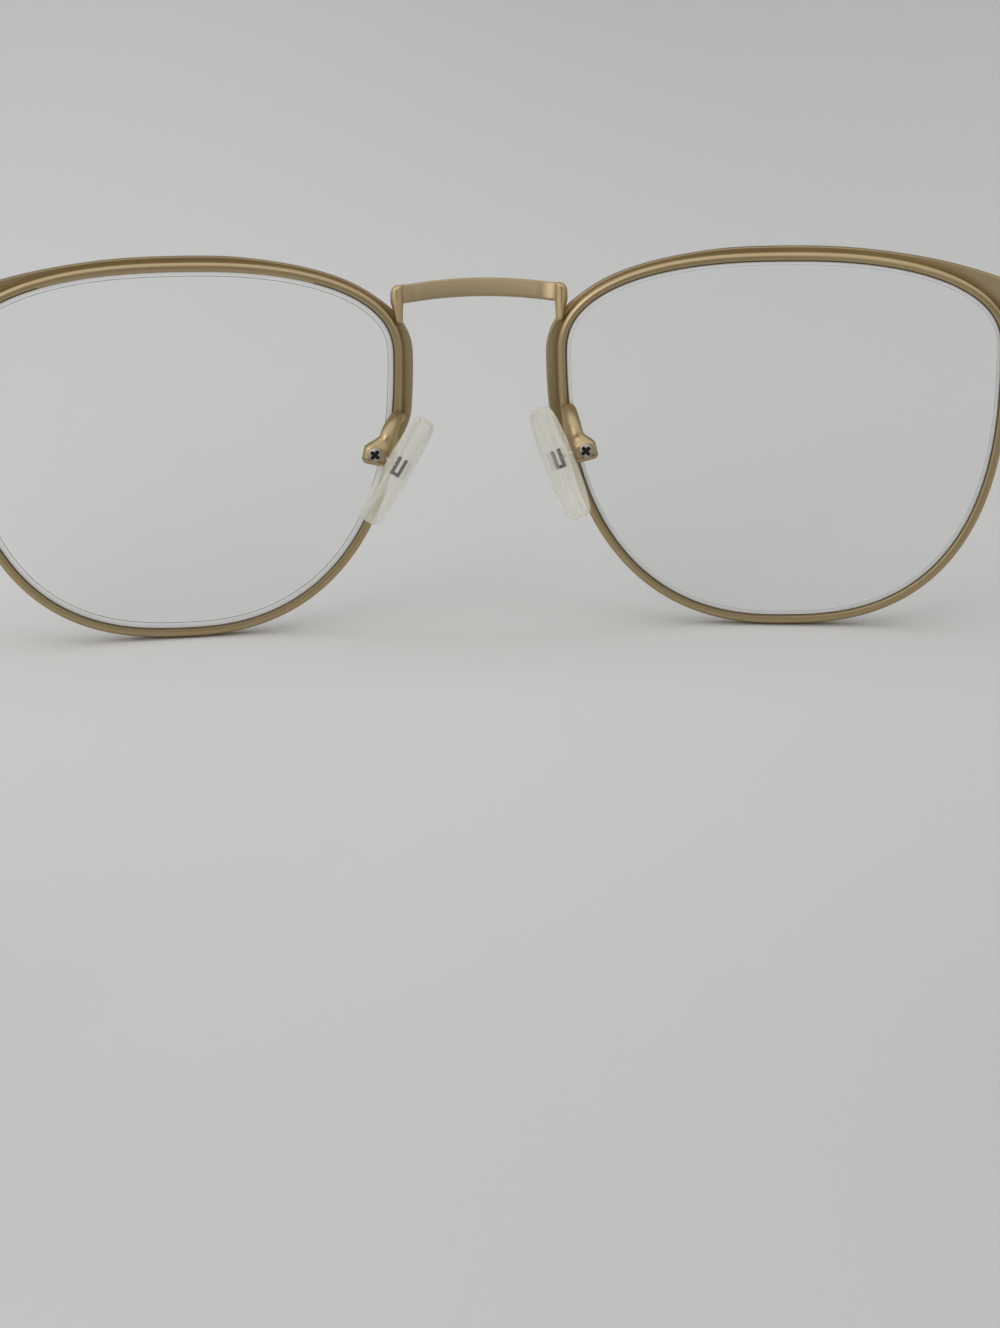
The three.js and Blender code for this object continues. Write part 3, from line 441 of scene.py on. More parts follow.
def sheet_outer(angle):
    at_corner = blend(BROW_REVEAL, CORNER_REVEAL, ease(angle, *SHEET_NARROWS))
    reveal = blend(at_corner, NOSE_REVEAL, ease(angle, *SHEET_WIDENS))
    return lens_edge(angle, RIM_OUTER + (1 - ease(angle, *SHEET_FADES)) * reveal)


def sheet_station(low, high):
    middle = low.lerp(high, 0.5)
    normal = Vector((middle.x / FRONT_CURVE, 1, middle.y / FRONT_CURVE)).normalized()
    out = Matrix.Rotation(-FACE_FORM, 3, "Z") @ normal
    return on_front(low, SHEET_LIFT), on_front(high, SHEET_LIFT), out


def sheet_ring(low, high, out):
    across = (high - low).normalized()
    width = (high - low).length
    section = rounded([
        (0, 0, SHEET_BACK_ROUND), (width, 0, SHEET_BACK_ROUND),
        (width, SHEET_THICKNESS, SHEET_FRONT_ROUND), (0, SHEET_THICKNESS, SHEET_FRONT_ROUND),
    ])
    return [low + across * p.x + out * p.y for p in section]


end_x = LENS_WIDTH / 2 + END_REACH
leave = sheet_outer(SHEET_LEAVES_RIM)
top_corner = Vector((end_x, END_HEIGHT + HINGE_HEIGHT / 2))
third = (top_corner - leave).length / 3
leave_way = (leave - sheet_outer(SHEET_LEAVES_RIM + JUST_BEFORE)).normalized()
top_edge = (leave, leave + leave_way * third, top_corner + Vector((-third, third * END_RISE)), top_corner)
root = sheet_inner(SHEET_ROOT)
low_corner = Vector((end_x, END_HEIGHT - HINGE_HEIGHT / 2))
under_edge = (root, Vector((root.x + END_ROOT.x, low_corner.y - END_ROOT.y)),
              low_corner - Vector((END_REACH / 2, 0)), low_corner)
stations = [sheet_station(sheet_inner(angle), sheet_outer(angle))
            for angle in walk(SHEET_FADES[1], SHEET_LEAVES_RIM, BROW_STEPS)]
for k, angle in enumerate(walk(SHEET_LEAVES_RIM, SHEET_ROOT, FLARE_STEPS)[1:], 1):
    stations.append(sheet_station(
        sheet_inner(angle), bezier(*top_edge, k / FLARE_STEPS * (1 - END_SHARE)),
    ))
for share in spread(0, 1, END_STEPS)[1:]:
    stations.append(sheet_station(
        bezier(*under_edge, share), bezier(*top_edge, 1 - END_SHARE * (1 - share)),
    ))

sheet_middle = [low.lerp(high, 0.5) for low, high, _ in stations[-2:]]
forward = (sheet_middle[1] - sheet_middle[0]).normalized()
rise = (stations[-1][1] - stations[-1][0]).normalized()
level_back = lean.inverted().to_3x3() @ Vector((0, -1, 0))
level_up = lean.inverted().to_3x3() @ Vector((0, 0, 1))
at = sheet_middle[1].copy()


def tab_station(way, up):
    high = (up - way * up.dot(way)).normalized() * (HINGE_HEIGHT / 2)
    return at - high, at + high, high.cross(way).normalized()


for k in range(1, BEND_STEPS + 1):
    at += forward.lerp(level_back, (k - 0.5) / BEND_STEPS).normalized() * (
        END_BEND * forward.angle(level_back) / BEND_STEPS)
    stations.append(tab_station(
        forward.lerp(level_back, k / BEND_STEPS).normalized(), rise.lerp(level_up, k / BEND_STEPS),
    ))
for k in range(TAB_STEPS):
    at += level_back * (TAB_LENGTH / TAB_STEPS)
    stations.append(tab_station(level_back, level_up))
# Painted shade: the brow sheets take a darker copy of the rims' gold.
shaded_gold = satin_metal("shaded_champagne_plate", SHADED_PLATE_PALE, SHADED_PLATE_DEEP, SATIN_ROUGHNESS, SATIN_GRAIN)
brow_sheet = placed(skin(with_ends([sheet_ring(*station) for station in stations],
                                   SHEET_START_ROUND, SHEET_END_ROUND)), stand)
for side in SIDES:
    add_piece(f"{side}_brow_sheet", [brow_sheet], [shaded_gold], "front",
              f"{side}_brow_plate", side)

# Bridge: one flat strip of the same metal over the nose, arched, set forward and leaned back a little.
# Its ends are turned back, left taller as feet and soldered in between rim and brow sheet, so that from
# behind their round edges show as two short posts. The feet are blasted rougher than the strip and are
# painted paler, as painted light; the strip is painted darker than the rims, as painted shade.
STRIP_THICKNESS, STRIP_HEIGHT, STRIP_LEVEL, STRIP_ARCH, STRIP_BOW = 1, 2.1, 17.45, 0.7, 1.53
STRIP_BELLY, STRIP_TURN, STRIP_SWEEP, STRIP_LEAN = 0.25, 1.2, 2.6, math.radians(10)
FOOT_LOW, FOOT_HEIGHT, FOOT_WIDTH, FOOT_INSET, FOOT_OUT = 14.1, 4.55, 1.4, 0.3, 0.45
FOOT_TAPER, FOOT_SHOULDER, FOOT_ROUND, FOOT_ROWS = 2.6, 1.15, 0.58, 13
FOOT_GROWS = math.radians(50), math.radians(88)
STRIP_EDGE, FOOT_EDGE, FOOT_BACK_EDGE, STRIP_TAPER, BRIDGE_CORNER_STEPS = 0.25, 0.42, 0.15, 0.7, 5
FOOT_NARROWS, LOW_BACK_EASES, LOW_FRONT, EDGE_MOST, SHOULDER_MOST = 0.9, 0.3, 0.5, 0.6, 1.7
BACK_MOST, BACK_LEAST = 0.25, 0.1
STRIP_STEPS, TURN_STEPS, FOOT_STEPS = 24, 16, 9
STRIP_ROUGHNESS, FOOT_ROUGHNESS = 0.41, 0.55
# The feet's paler copy of the gold: painted light.
FOOT_LIT_PALE, FOOT_LIT_DEEP = (0.58, 0.457, 0.272, 1), (0.51, 0.392, 0.218, 1)

foot_angle = angle_at_height(FOOT_LOW, False)
foot_outside = on_front(lens_edge(foot_angle, RIM_OUTER + SOLDER)).x + FOOT_OUT
foot_x, foot_inside = foot_outside - FOOT_WIDTH / 2, foot_outside - FOOT_WIDTH
foot_back = on_front(lens_edge(foot_angle, RIM_OUTER + FOOT_WIDTH / 2), SHEET_LIFT).y - FOOT_INSET
foot_back -= STRIP_THICKNESS
strip_end, level_end = foot_x - STRIP_SWEEP, foot_x - STRIP_TURN
strip_y = foot_back + STRIP_THICKNESS / 2 + STRIP_BOW


def strip_ring(x, y, angle, share, draw=0):
    """Section across the strip where its run has turned back by an angle; a foot has the full share."""
    out = Vector((math.sin(angle), math.cos(angle), 0))
    lean_back = STRIP_LEAN * (1 - share)
    upright = Vector((0, 0, math.cos(lean_back))) + out * math.sin(lean_back)
    across = out * math.cos(lean_back) - Vector((0, 0, math.sin(lean_back)))
    level = STRIP_LEVEL + STRIP_ARCH * (1 - (min(x, level_end) / foot_inside) ** 2)
    half_height = blend(STRIP_HEIGHT, FOOT_HEIGHT, share) / 2 - draw
    middle = Vector((x, y, blend(level, FOOT_LOW + FOOT_HEIGHT / 2, share)))
    half = blend(STRIP_THICKNESS, FOOT_WIDTH, share) / 2 - draw
    edge = min(blend(STRIP_EDGE, FOOT_EDGE, share), half * EDGE_MOST)
    shoulder = min(blend(STRIP_EDGE, FOOT_SHOULDER, share), half * SHOULDER_MOST)
    back_edge = min(blend(STRIP_EDGE, FOOT_BACK_EDGE, share), half * BACK_MOST + BACK_LEAST)
    section = rounded([
        (-half, -half_height, edge * (1 - LOW_BACK_EASES * share)),
        (half * (1 - FOOT_NARROWS * share), -half_height, edge * LOW_FRONT),
        (half, blend(STRIP_TAPER, FOOT_TAPER, share) - half_height, half * EDGE_MOST),
        (half, half_height, shoulder), (-half, half_height, back_edge),
    ], BRIDGE_CORNER_STEPS)
    return [middle + across * p.x + upright * p.y for p in section]


half_strip = [strip_ring(x, strip_y - STRIP_BELLY * (x / strip_end) ** 2, 0, 0)
              for x in spread(0, strip_end, STRIP_STEPS)]
turn_y = strip_y - STRIP_BELLY - STRIP_TURN
for angle in spread(0, math.pi / 2, TURN_STEPS)[1:]:
    turned_back = math.atan2(STRIP_TURN * math.sin(angle), STRIP_SWEEP * math.cos(angle))
    half_strip.append(strip_ring(
        strip_end + STRIP_SWEEP * math.sin(angle), turn_y + STRIP_TURN * math.cos(angle), turned_back,
        ease(angle, *FOOT_GROWS),
    ))
for angle in spread(0, math.pi / 2, FOOT_STEPS):
    draw, back = FOOT_ROUND * (1 - math.cos(angle)), FOOT_ROUND * (1 - math.sin(angle))
    half_strip.append(strip_ring(foot_x, foot_back + back, math.pi / 2, 1, draw))
other_half = [[Vector((-p.x, p.y, p.z)) for p in ring] for ring in half_strip[:0:-1]]
bridge_strip = placed(skin(other_half + half_strip), stand)
# The strip takes the darker copy of the gold, painted shade; the feet a paler copy, painted light.
soft_shaded_gold = satin_metal("soft_shaded_champagne_plate", SHADED_PLATE_PALE, SHADED_PLATE_DEEP, STRIP_ROUGHNESS, SATIN_GRAIN)
foot_lit_gold = satin_metal("lit_champagne_plate", FOOT_LIT_PALE, FOOT_LIT_DEEP, FOOT_ROUGHNESS, SATIN_GRAIN)
bridge = add_piece("bridge_strip", [bridge_strip], [soft_shaded_gold, foot_lit_gold], "front", "bridge")
# Painted light: the feet's faces take the paler copy.
foot_faces, all_faces = FOOT_ROWS * len(half_strip[0]), len(bridge_strip[1])
paint(bridge, 1, [*range(foot_faces), *range(all_faces - 2 - foot_faces, all_faces)])

# Rim locks: two small blocks soldered to the ends of each rim wire behind the end piece. A steel screw
# with a slotted head goes up through the lower block and draws the rim shut round its lens.
LOCK_WIDTH, LOCK_LENGTH, LOCK_DEPTH, LOCK_SCREW = 2.3, 2.2, 1.8, 0.45
LOCK_CORNER, LOCK_EDGE, LOCK_TURN = 0.35, 0.16, 0.02
LOCK_HEAD, HEAD_HEIGHT, HEAD_WALL, HEAD_EDGE, DOME_TURN = 0.79, 0.45, 0.45, 0.06, math.radians(86)
SHANK_TIP, SHANK_TAPER, DOME_STEPS, SCREW_SIDES = 0.7, 0.15, 8, 40
SLOT_WIDTH, SLOT_DEPTH, SLOT_CUT, SLOT_TURN = 0.3, 0.3, 4, math.radians(20)
SLOT_MARGIN, SLOT_REACH = 0.02, 0.9
STEEL_PALE, STEEL_DEEP = (0.46, 0.44, 0.41, 1), (0.34, 0.325, 0.30, 1)
STEEL_ROUGHNESS, STEEL_GRAIN, STEEL_GLANCE = 0.26, 3400, (0.85, 0.85, 0.84, 1)
# Near black for the faces down in the screw slots: painted shade.
SLOT_SHADE_PALE, SLOT_SHADE_DARK, SLOT_ROUGHNESS = (0.05, 0.045, 0.04, 1), (0.02, 0.018, 0.016, 1), 0.5


def inset(outline, distance):
    """An outline that turns anticlockwise, drawn in by a distance."""
    drawn = []
    for k, point in enumerate(outline):
        run = (outline[(k + 1) % len(outline)] - outline[k - 1]).normalized()
        drawn.append(point + Vector((-run.y, run.x)) * distance)
    return drawn


def slab(outline, low, high, edge, steps=3):
    """A block of an outline, from one level to another along Z, with its two edges rounded."""
    rings = []
    for angle in spread(0, math.pi / 2, steps):
        rings.append((edge * (1 - math.sin(angle)), low + edge * (1 - math.cos(angle))))
    rings += [(draw, low + high - level) for draw, level in rings[::-1]]
    return skin([[Vector((p.x, p.y, level)) for p in inset(outline, draw)] for draw, level in rings])


def block_section(width, depth, corner):
    """A rectangle about the middle, with its four corners rounded alike."""
    x, y = width / 2, depth / 2
    return rounded([(-x, -y, corner), (x, -y, corner), (x, y, corner), (-x, y, corner)])


def round_about(count):
    """Cosine and sine of equal turns, once round."""
    return [(math.cos(angle), math.sin(angle)) for angle in spread(0, 2 * math.pi, count)[1:]]


def on_axes(x, y, z):
    """The turn that lays X, Y and Z along three directions."""
    return Matrix((x, y, z)).transposed().to_4x4()


def turned(profile, bored=False):
    """A body turned about Z from (radius, level) points, which close on themselves if it is bored."""
    return skin([[Vector((radius * x, radius * y, level)) for x, y in round_about(SCREW_SIDES)]
                 for radius, level in profile], bored)


def carved(block, *cutters):
    """A block with the cutters taken out of it, worked at millimetre size."""
    made = []
    for part in (block, *cutters):
        made.append(bpy.data.objects.new("work", mesh_of("work", [part], 1)))
        bpy.context.collection.objects.link(made[-1])
    for cutter in made[1:]:
        bite = made[0].modifiers.new("bite", "BOOLEAN")
        bite.solver, bite.object = "MANIFOLD", cutter
    result = made[0].evaluated_get(bpy.context.evaluated_depsgraph_get()).to_mesh()
    points = [vertex.co.copy() for vertex in result.vertices]
    faces = [tuple(face.vertices) for face in result.polygons]
    for work in made:
        bpy.data.objects.remove(work)
    return points, faces


def bar(width, depth, low, high):
    """A plain cutting bar about Z."""
    x, y = width / 2, depth / 2
    corners = (-x, -y), (x, -y), (x, y), (-x, y)
    return skin([[Vector((*corner, level)) for corner in corners] for level in (low, high)])


def screw(radius, length, head, slots=1, reach=SLOT_CUT, width=SLOT_WIDTH, slot_turn=SLOT_TURN):
    """A screw along Z: the domed head stands on z = 0 and the shank hangs below it."""
    dome = [(head * math.cos(angle), HEAD_HEIGHT * (HEAD_WALL + (1 - HEAD_WALL) * math.sin(angle)))
            for angle in spread(0, DOME_TURN, DOME_STEPS)]
    body = turned([(radius * SHANK_TIP, -length), (radius, SHANK_TAPER - length), (radius, 0),
                   (head - HEAD_EDGE, 0), (head, HEAD_EDGE), *dome])
    grooves = [placed(bar(reach, width, HEAD_HEIGHT - SLOT_DEPTH, HEAD_HEIGHT * 2),
                      Matrix.Rotation(k * math.pi / slots + slot_turn, 4, "Z"))
               for k in range(slots)]
    return carved(body, *grooves)


def slot_faces(part, head):
    """Numbers of the faces of a screw that lie down in its slots."""
    numbers = []
    for number, face in enumerate(part[1]):
        middle = sum((part[0][k] for k in face), Vector()) / len(face)
        share = math.hypot(middle.x, middle.y) / head
        dome_share = (1 - HEAD_WALL) * math.sqrt(max(0, 1 - share * share))
        if 0 < middle.z < HEAD_HEIGHT * (HEAD_WALL - SLOT_MARGIN + dome_share) and share < SLOT_REACH:
            numbers.append(number)
    return numbers


def add_screw(name, part, head, seat, node, side):
    piece = add_piece(name, [placed(part, seat)], [turned_steel, slot_shade_paint], "front",
                      node, side, crease=30)
    paint(piece, 1, slot_faces(part, head))


turned_steel = satin_metal("turned_steel", STEEL_PALE, STEEL_DEEP, STEEL_ROUGHNESS, STEEL_GRAIN,
                           STEEL_GLANCE)
# Painted shade: near black for the faces down in the slots and the pressed cross.
slot_shade_paint = satin_metal("slot_painted_shade", SLOT_SHADE_PALE, SLOT_SHADE_DARK, SLOT_ROUGHNESS, STEEL_GRAIN)
lock_offset = RIM_OUTER + SOLDER + LOCK_WIDTH / 2
lock_at = on_front(lens_edge(split_angle, lock_offset))
lock_down = (on_front(lens_edge(split_angle - LOCK_TURN, lock_offset))
             - on_front(lens_edge(split_angle + LOCK_TURN, lock_offset))).normalized()
lock_out = lock_at - on_front(lens_edge(split_angle))
lock_out = (lock_out - lock_down * lock_out.dot(lock_down)).normalized()
lock_axes = on_axes(lock_out, lock_down.cross(lock_out), lock_down)
lock_stand = stand @ Matrix.Translation(lock_at) @ lock_axes
lock_outline = block_section(LOCK_WIDTH, LOCK_DEPTH, LOCK_CORNER)
lock_near, lock_far = RIM_SPLIT / 2, RIM_SPLIT / 2 + LOCK_LENGTH
lock_screw = screw(LOCK_SCREW, 2 * lock_far + SOLDER, LOCK_HEAD)
for side in SIDES:
    for level, ends in (("upper", (-lock_far, -lock_near)), ("lower", (lock_near, lock_far))):
        block = slab(lock_outline, *ends, LOCK_EDGE)
        add_piece(f"{side}_{level}_lock_block", [placed(block, lock_stand)], [satin_gold],
                  "front", f"{side}_{level}_rim_lock", side)
    lock_seat = lock_stand @ Matrix.Translation((0, 0, lock_far + SOLDER))
    add_screw(f"{side}_lock_screw", lock_screw, LOCK_HEAD, lock_seat, f"{side}_rim_lock_screw", side)

# Pad arms: a stout cast arm soldered to the back of each rim beside the nose, bent backward and down. It
# swells into the round-cornered box that takes the tail of the nose pad; arm and box are one casting, and
# plated with the rims. The two were bent by hand to fit, and do not sit quite alike.
ARM_SIZE = Vector((1.7, 1.4))
ARM_LEVEL, ARM_INSET = {"right": 3.9, "left": 3.4}, {"right": 0.3, "left": -0.2}
ARM_LEAVES, ARM_ENTERS = Vector((0, -2.4, 0.5)), Vector((-0.3, 0.2, 1.3))
ARM_MEETS_BOX = {"right": Vector((-0.98, 0, 1.62)), "left": Vector((-1.4, 0, 1.7))}
BOX_SIZE, BOX_WALL, TAIL_THICKNESS, TAIL_PLAY = Vector((2.7, 2.4, 2.5)), 0.4, 0.9, 0.15
BOX_TURN, ARM_TURN = math.radians(13), math.radians(24)
BOX_SQUARE, BOX_FULL_AT, BOX_ROUND, ARM_ROOT_ROUND = 4.2, 0.5, 0.6, 0.5
ARM_RINGS, SHOULDER_RINGS, BOX_RINGS, ARM_SIDES, ARM_END_STEPS = 40, 16, 4, 48, 8


def oval(middle, across, up, size, power):
    """A ring between an oval, at power 2, and a box with round corners."""
    ring = []
    for x, y in round_about(ARM_SIDES):
        reach = (abs(x) ** power + abs(y) ** power) ** (-1 / power)
        ring.append(middle + across * (reach * x * size.x / 2) + up * (reach * y * size.y / 2))
    return ring


x_axis, backward = Vector((1, 0, 0)), Vector((0, -1, 0))


def turned_across(angle):
    return Vector((math.cos(angle), 0, math.sin(angle)))


box_down, box_across = turned_across(BOX_TURN - math.pi / 2), turned_across(BOX_TURN)
box_frame = Matrix.Rotation(-BOX_TURN, 4, "Y")
box_face = Vector((BOX_SIZE.x, BOX_SIZE.y))
for side, box_at in PAD_BOX_AT.items():
    root_edge = lens_edge(angle_at_height(ARM_LEVEL[side], False), -ARM_INSET[side])
    arm_root, arm_end = on_front(root_edge, -RIM_HALF - SOLDER), box_at + ARM_MEETS_BOX[side]
    arm_path = (arm_root, arm_root + ARM_LEAVES, arm_end + ARM_ENTERS, arm_end)
    arm_rings = []
    for share in spread(0, 1, ARM_RINGS):
        way = (bezier(*arm_path, share + NUDGE) - bezier(*arm_path, share - NUDGE)).normalized()
        across = (x_axis - way * way.x).normalized()
        arm_rings.append(oval(bezier(*arm_path, share), across, way.cross(across), ARM_SIZE, 2))
    for share in spread(0, 1, SHOULDER_RINGS)[1:]:
        swell = ease(share, 0, 1)
        arm_rings.append(oval(arm_end.lerp(box_at - box_down * BOX_FULL_AT, share),
                              turned_across(blend(ARM_TURN, BOX_TURN, share)), backward,
                              ARM_SIZE.lerp(box_face, swell), blend(2, BOX_SQUARE, swell)))
    for level in spread(-BOX_FULL_AT, BOX_SIZE.z / 2, BOX_RINGS)[1:]:
        arm_rings.append(oval(box_at + box_down * level, box_across, backward, box_face, BOX_SQUARE))
    hollow = BOX_SIZE.z / 2 - BOX_WALL
    mouth = placed(bar(BOX_SIZE.x, TAIL_THICKNESS + 2 * TAIL_PLAY, -hollow, hollow),
                   Matrix.Translation(box_at - box_across * BOX_WALL) @ box_frame)
    solid_arm = skin(with_ends(arm_rings, ARM_ROOT_ROUND, BOX_ROUND, ARM_END_STEPS))
    add_piece(f"{side}_arm_and_box", [placed(carved(solid_arm, mouth), stand)], [satin_gold],
              "front", f"{side}_pad_arm", side, crease=50)

# Pad screws: a steel cross-head screw goes through the back of each box and the drilled tail of its pad.
# The pressed cross is deep, and its faces are painted near black as painted shade; round it the head is
# left bright.
PAD_SCREW, PAD_HEAD, CROSS_REACH, CROSS_WIDTH, CROSS_TURN = 0.35, 0.8, 1.26, 0.4, math.radians(42)

laid_back = Matrix.Rotation(math.pi / 2, 4, "X")
pad_screw = screw(PAD_SCREW, BOX_SIZE.y + HEAD_HEIGHT / 2, PAD_HEAD, 2, CROSS_REACH, CROSS_WIDTH,
                  CROSS_TURN)
for side, box_at in PAD_BOX_AT.items():
    seat = Matrix.Translation(box_at + backward * (BOX_SIZE.y / 2)) @ laid_back
    add_screw(f"{side}_box_screw", pad_screw, PAD_HEAD, stand @ seat, f"{side}_pad_screw", side)

# Nose pads: milky clear silicone moulded round a steel core, each a round-edged slab of squarish egg
# shape with its face toward the nose. It is clearer at its back, where the folded core shows as a dark U,
# painted near black as painted shade, and frosted in front. The core's tail rocks on the screw.
PAD_LENGTH, PAD_WIDTH, PAD_THICKNESS = 13.6, 7, 2.35
PAD_OFFSET = {"right": Vector((-3.05, -1.7, -1.5)), "left": Vector((-2.8, -1.7, -1.5))}
PAD_FLARE, PAD_SPLAY = math.radians(23), math.radians(14)
PAD_SET = {"right": math.radians(-3), "left": math.radians(8)}
PAD_EGG, PAD_SQUARE, PAD_EDGE, PAD_DOME, PAD_MIDDLE = 0.06, 0.8, 0.6, 0.15, 0.04
PAD_SIDES, PAD_EDGE_ROWS, PAD_FACE_ROWS = 96, 20, 16
CORE_UP, CORE_LONG, CORE_WIDE, CORE_SHEET, CORE_OPEN, CORE_LEVEL = 0.5, 2.2, 0.5, 0.36, 1.15, -0.1
CORE_CORNER, CORE_EDGE, TAIL_EDGE, TAIL_CLEARANCE, BORE_PLAY = 0.08, 0.05, 0.1, 0.12, 0.04
NECK_SIZE, NECK_SQUARE, NECK_RINGS = Vector((0.6, 0.4)), 3, 14
NECK_ROOT, NECK_OUT, NECK_SINK = 0.4, 0.12, 0.1
HAZE_SIZE, HAZE_STRENGTH, HAZE_DEPTH, FROSTED = 700, 0.12, 0.00003, (0.4, 0.75)
# Near black for the folded core: painted shade for the dark U seen through the silicone.
CORE_SHADE_PALE, CORE_SHADE_DARK, CORE_ROUGHNESS = (0.06, 0.056, 0.048, 1), (0.03, 0.028, 0.024, 1), 0.42
# A pale copy of steel for the tail and neck: painted light.
TAIL_LIT_PALE, TAIL_LIT_DEEP, TAIL_ROUGHNESS = (0.86, 0.85, 0.8, 1), (0.8, 0.79, 0.74, 1), 0.7
SILICONE, SILICONE_THROUGH = (0.95, 0.94, 0.87, 1), (0.978, 0.973, 0.943, 1)


def fuller(value, power):
    return math.copysign(abs(value) ** power, value)


def eased(wire, value, start, end):
    """Share that grows smoothly from nothing to full between two values."""
    return wire.add("ShaderNodeMapRange", {"interpolation_type": "SMOOTHSTEP"},
                    {"Value": value, "From Min": start, "From Max": end})


def along(wire, place, axis, start, end):
    """Share that grows smoothly along an axis, from one place to another."""
    reach = wire.add("ShaderNodeSeparateXYZ", {}, {"Vector": place}, output=axis)
    return eased(wire, reach, start, end)


def milky_body(wire, place):
    haze = clouds(wire, place, HAZE_SIZE, detail=3.0)
    return {"Base Color": SILICONE, "Roughness": 0.13 + 0.1 * haze, "IOR": 1.41,
            "Transmission Weight": 0.5, "Normal": pitted(wire, haze, HAZE_STRENGTH, HAZE_DEPTH)}


def milky_share(facing):
    frosted = along(facing, facing.add("ShaderNodeTexCoord", output="Generated"), "Y", *FROSTED)
    return 0.18 + 0.4 * facing + 0.44 * frosted


silicone = see_through("milky_clear_silicone", SILICONE_THROUGH, milky_body, milky_share)
# Painted shade: the folded core is painted near black.
core_shade_paint = satin_metal("folded_core_painted_shade", CORE_SHADE_PALE, CORE_SHADE_DARK, CORE_ROUGHNESS, STEEL_GRAIN)
# Painted light: the tail and neck are painted pale so that they do not look dark.
pale_painted_tail = satin_metal("tail_painted_light", TAIL_LIT_PALE, TAIL_LIT_DEEP, TAIL_ROUGHNESS, STEEL_GRAIN,
                         STEEL_GLANCE)

pad_long = Vector((math.sin(PAD_FLARE), 0, -math.cos(PAD_FLARE)))
pad_inward = Vector((-math.cos(PAD_FLARE), 0, -math.sin(PAD_FLARE)))
pad_face = pad_inward * math.cos(PAD_SPLAY) + backward * math.sin(PAD_SPLAY)
pad_turn = on_axes(pad_long, pad_face.cross(pad_long), pad_face)
pad_outline = [Vector((PAD_LENGTH / 2 * fuller(x, PAD_SQUARE),
                       PAD_WIDTH / 2 * fuller(y, PAD_SQUARE) * (1 + PAD_EGG * x)))
               for x, y in round_about(PAD_SIDES)]
pad_rings = []
for tilt in spread(-math.pi / 2, math.pi / 2, PAD_EDGE_ROWS):
    edge = inset(pad_outline, PAD_EDGE * (1 - math.cos(tilt)))
    flat_half = PAD_THICKNESS / 2 - (PAD_DOME if tilt > 0 else 0) - PAD_EDGE
    level = math.copysign(flat_half, tilt) + PAD_EDGE * math.sin(tilt)
    pad_rings.append([Vector((p.x, p.y, level)) for p in edge])
for share in spread(1, PAD_MIDDLE, PAD_FACE_ROWS)[1:]:
    level = PAD_THICKNESS / 2 - PAD_DOME * share * share
    pad_rings.append([Vector((p.x * share, p.y * share, level)) for p in inset(pad_outline, PAD_EDGE)])
pad_body = skin(pad_rings)

a, b = CORE_LONG / 2, CORE_OPEN / 2
core_outline = [Vector(corner) for corner in (
    (-a, -b), (a, -b), (a, b), (-a, b), (-a, b - CORE_SHEET), (a - CORE_SHEET, b - CORE_SHEET),
    (a - CORE_SHEET, CORE_SHEET - b), (-a, CORE_SHEET - b),
)]
fold = slab(rounded([(p.x, p.y, CORE_CORNER) for p in core_outline], 3), -CORE_WIDE / 2, CORE_WIDE / 2,
            CORE_EDGE)
tail_radius, tail_half = BOX_SIZE.z / 2 - BOX_WALL - TAIL_CLEARANCE, TAIL_THICKNESS / 2
tail_bore, tail_flat = PAD_SCREW + BORE_PLAY, tail_radius - TAIL_EDGE
tail_disc = turned([
    (tail_bore, -tail_half), (tail_flat, -tail_half), (tail_radius, TAIL_EDGE - tail_half),
    (tail_radius, tail_half - TAIL_EDGE), (tail_flat, tail_half), (tail_bore, tail_half),
], bored=True)
neck_from, neck_mouth = box_across * -NECK_ROOT, box_across * (-BOX_SIZE.x / 2 - NECK_OUT)
for side, box_at in PAD_BOX_AT.items():
    pad_axes = Matrix.Translation(PAD_OFFSET[side]) @ pad_turn
    to_core = pad_axes @ Matrix.Translation((-CORE_UP, 0, CORE_LEVEL))
    neck_to = to_core @ Vector((0, 0, NECK_SINK - CORE_OPEN / 2))
    neck_rings = []
    for share in spread(0, 1, NECK_RINGS):
        middle = bezier(neck_from, neck_mouth, neck_mouth.lerp(neck_to, 0.5), neck_to, share)
        up = (-box_down).lerp(-pad_long, share).normalized()
        neck_rings.append(oval(middle, -backward, up, NECK_SIZE, NECK_SQUARE))
    core_parts = [placed(fold, to_core @ laid_back), placed(tail_disc, laid_back), skin(neck_rings)]
    pad_stand = stand @ Matrix.Translation(box_at) @ Matrix.Rotation(-PAD_SET[side], 4, "Y")
    pad = add_piece(f"{side}_silicone_pad", [placed(pad_body, pad_stand @ pad_axes)], [silicone],
                    f"{side}_pad", f"{side}_nose_pad", side, crease=60)
    core = add_piece(f"{side}_core", [placed(part, pad_stand) for part in core_parts],
                     [pale_painted_tail, core_shade_paint], f"{side}_pad", f"{side}_pad_core", side)
    paint(core, 1, range(len(fold[1])))

# Hinges: a leaf with two knuckles is soldered inside the tab of each end piece, and one with a single
# knuckle inside the temple. A slotted steel screw, put in from above, is the pin they turn on.
KNUCKLE_RADIUS, KNUCKLE_HEIGHT, KNUCKLE_GAP, KNUCKLE_PLAY = 1.3, 1.5, 0.25, 0.1
LEAF_THICKNESS, LEAF_LENGTH, LEAF_EDGE, KNUCKLE_STEPS = 1, 4.5, 0.12, 24
HINGE_SCREW, HINGE_HEAD, PIN_PLAY = 0.55, 0.96, 0.06

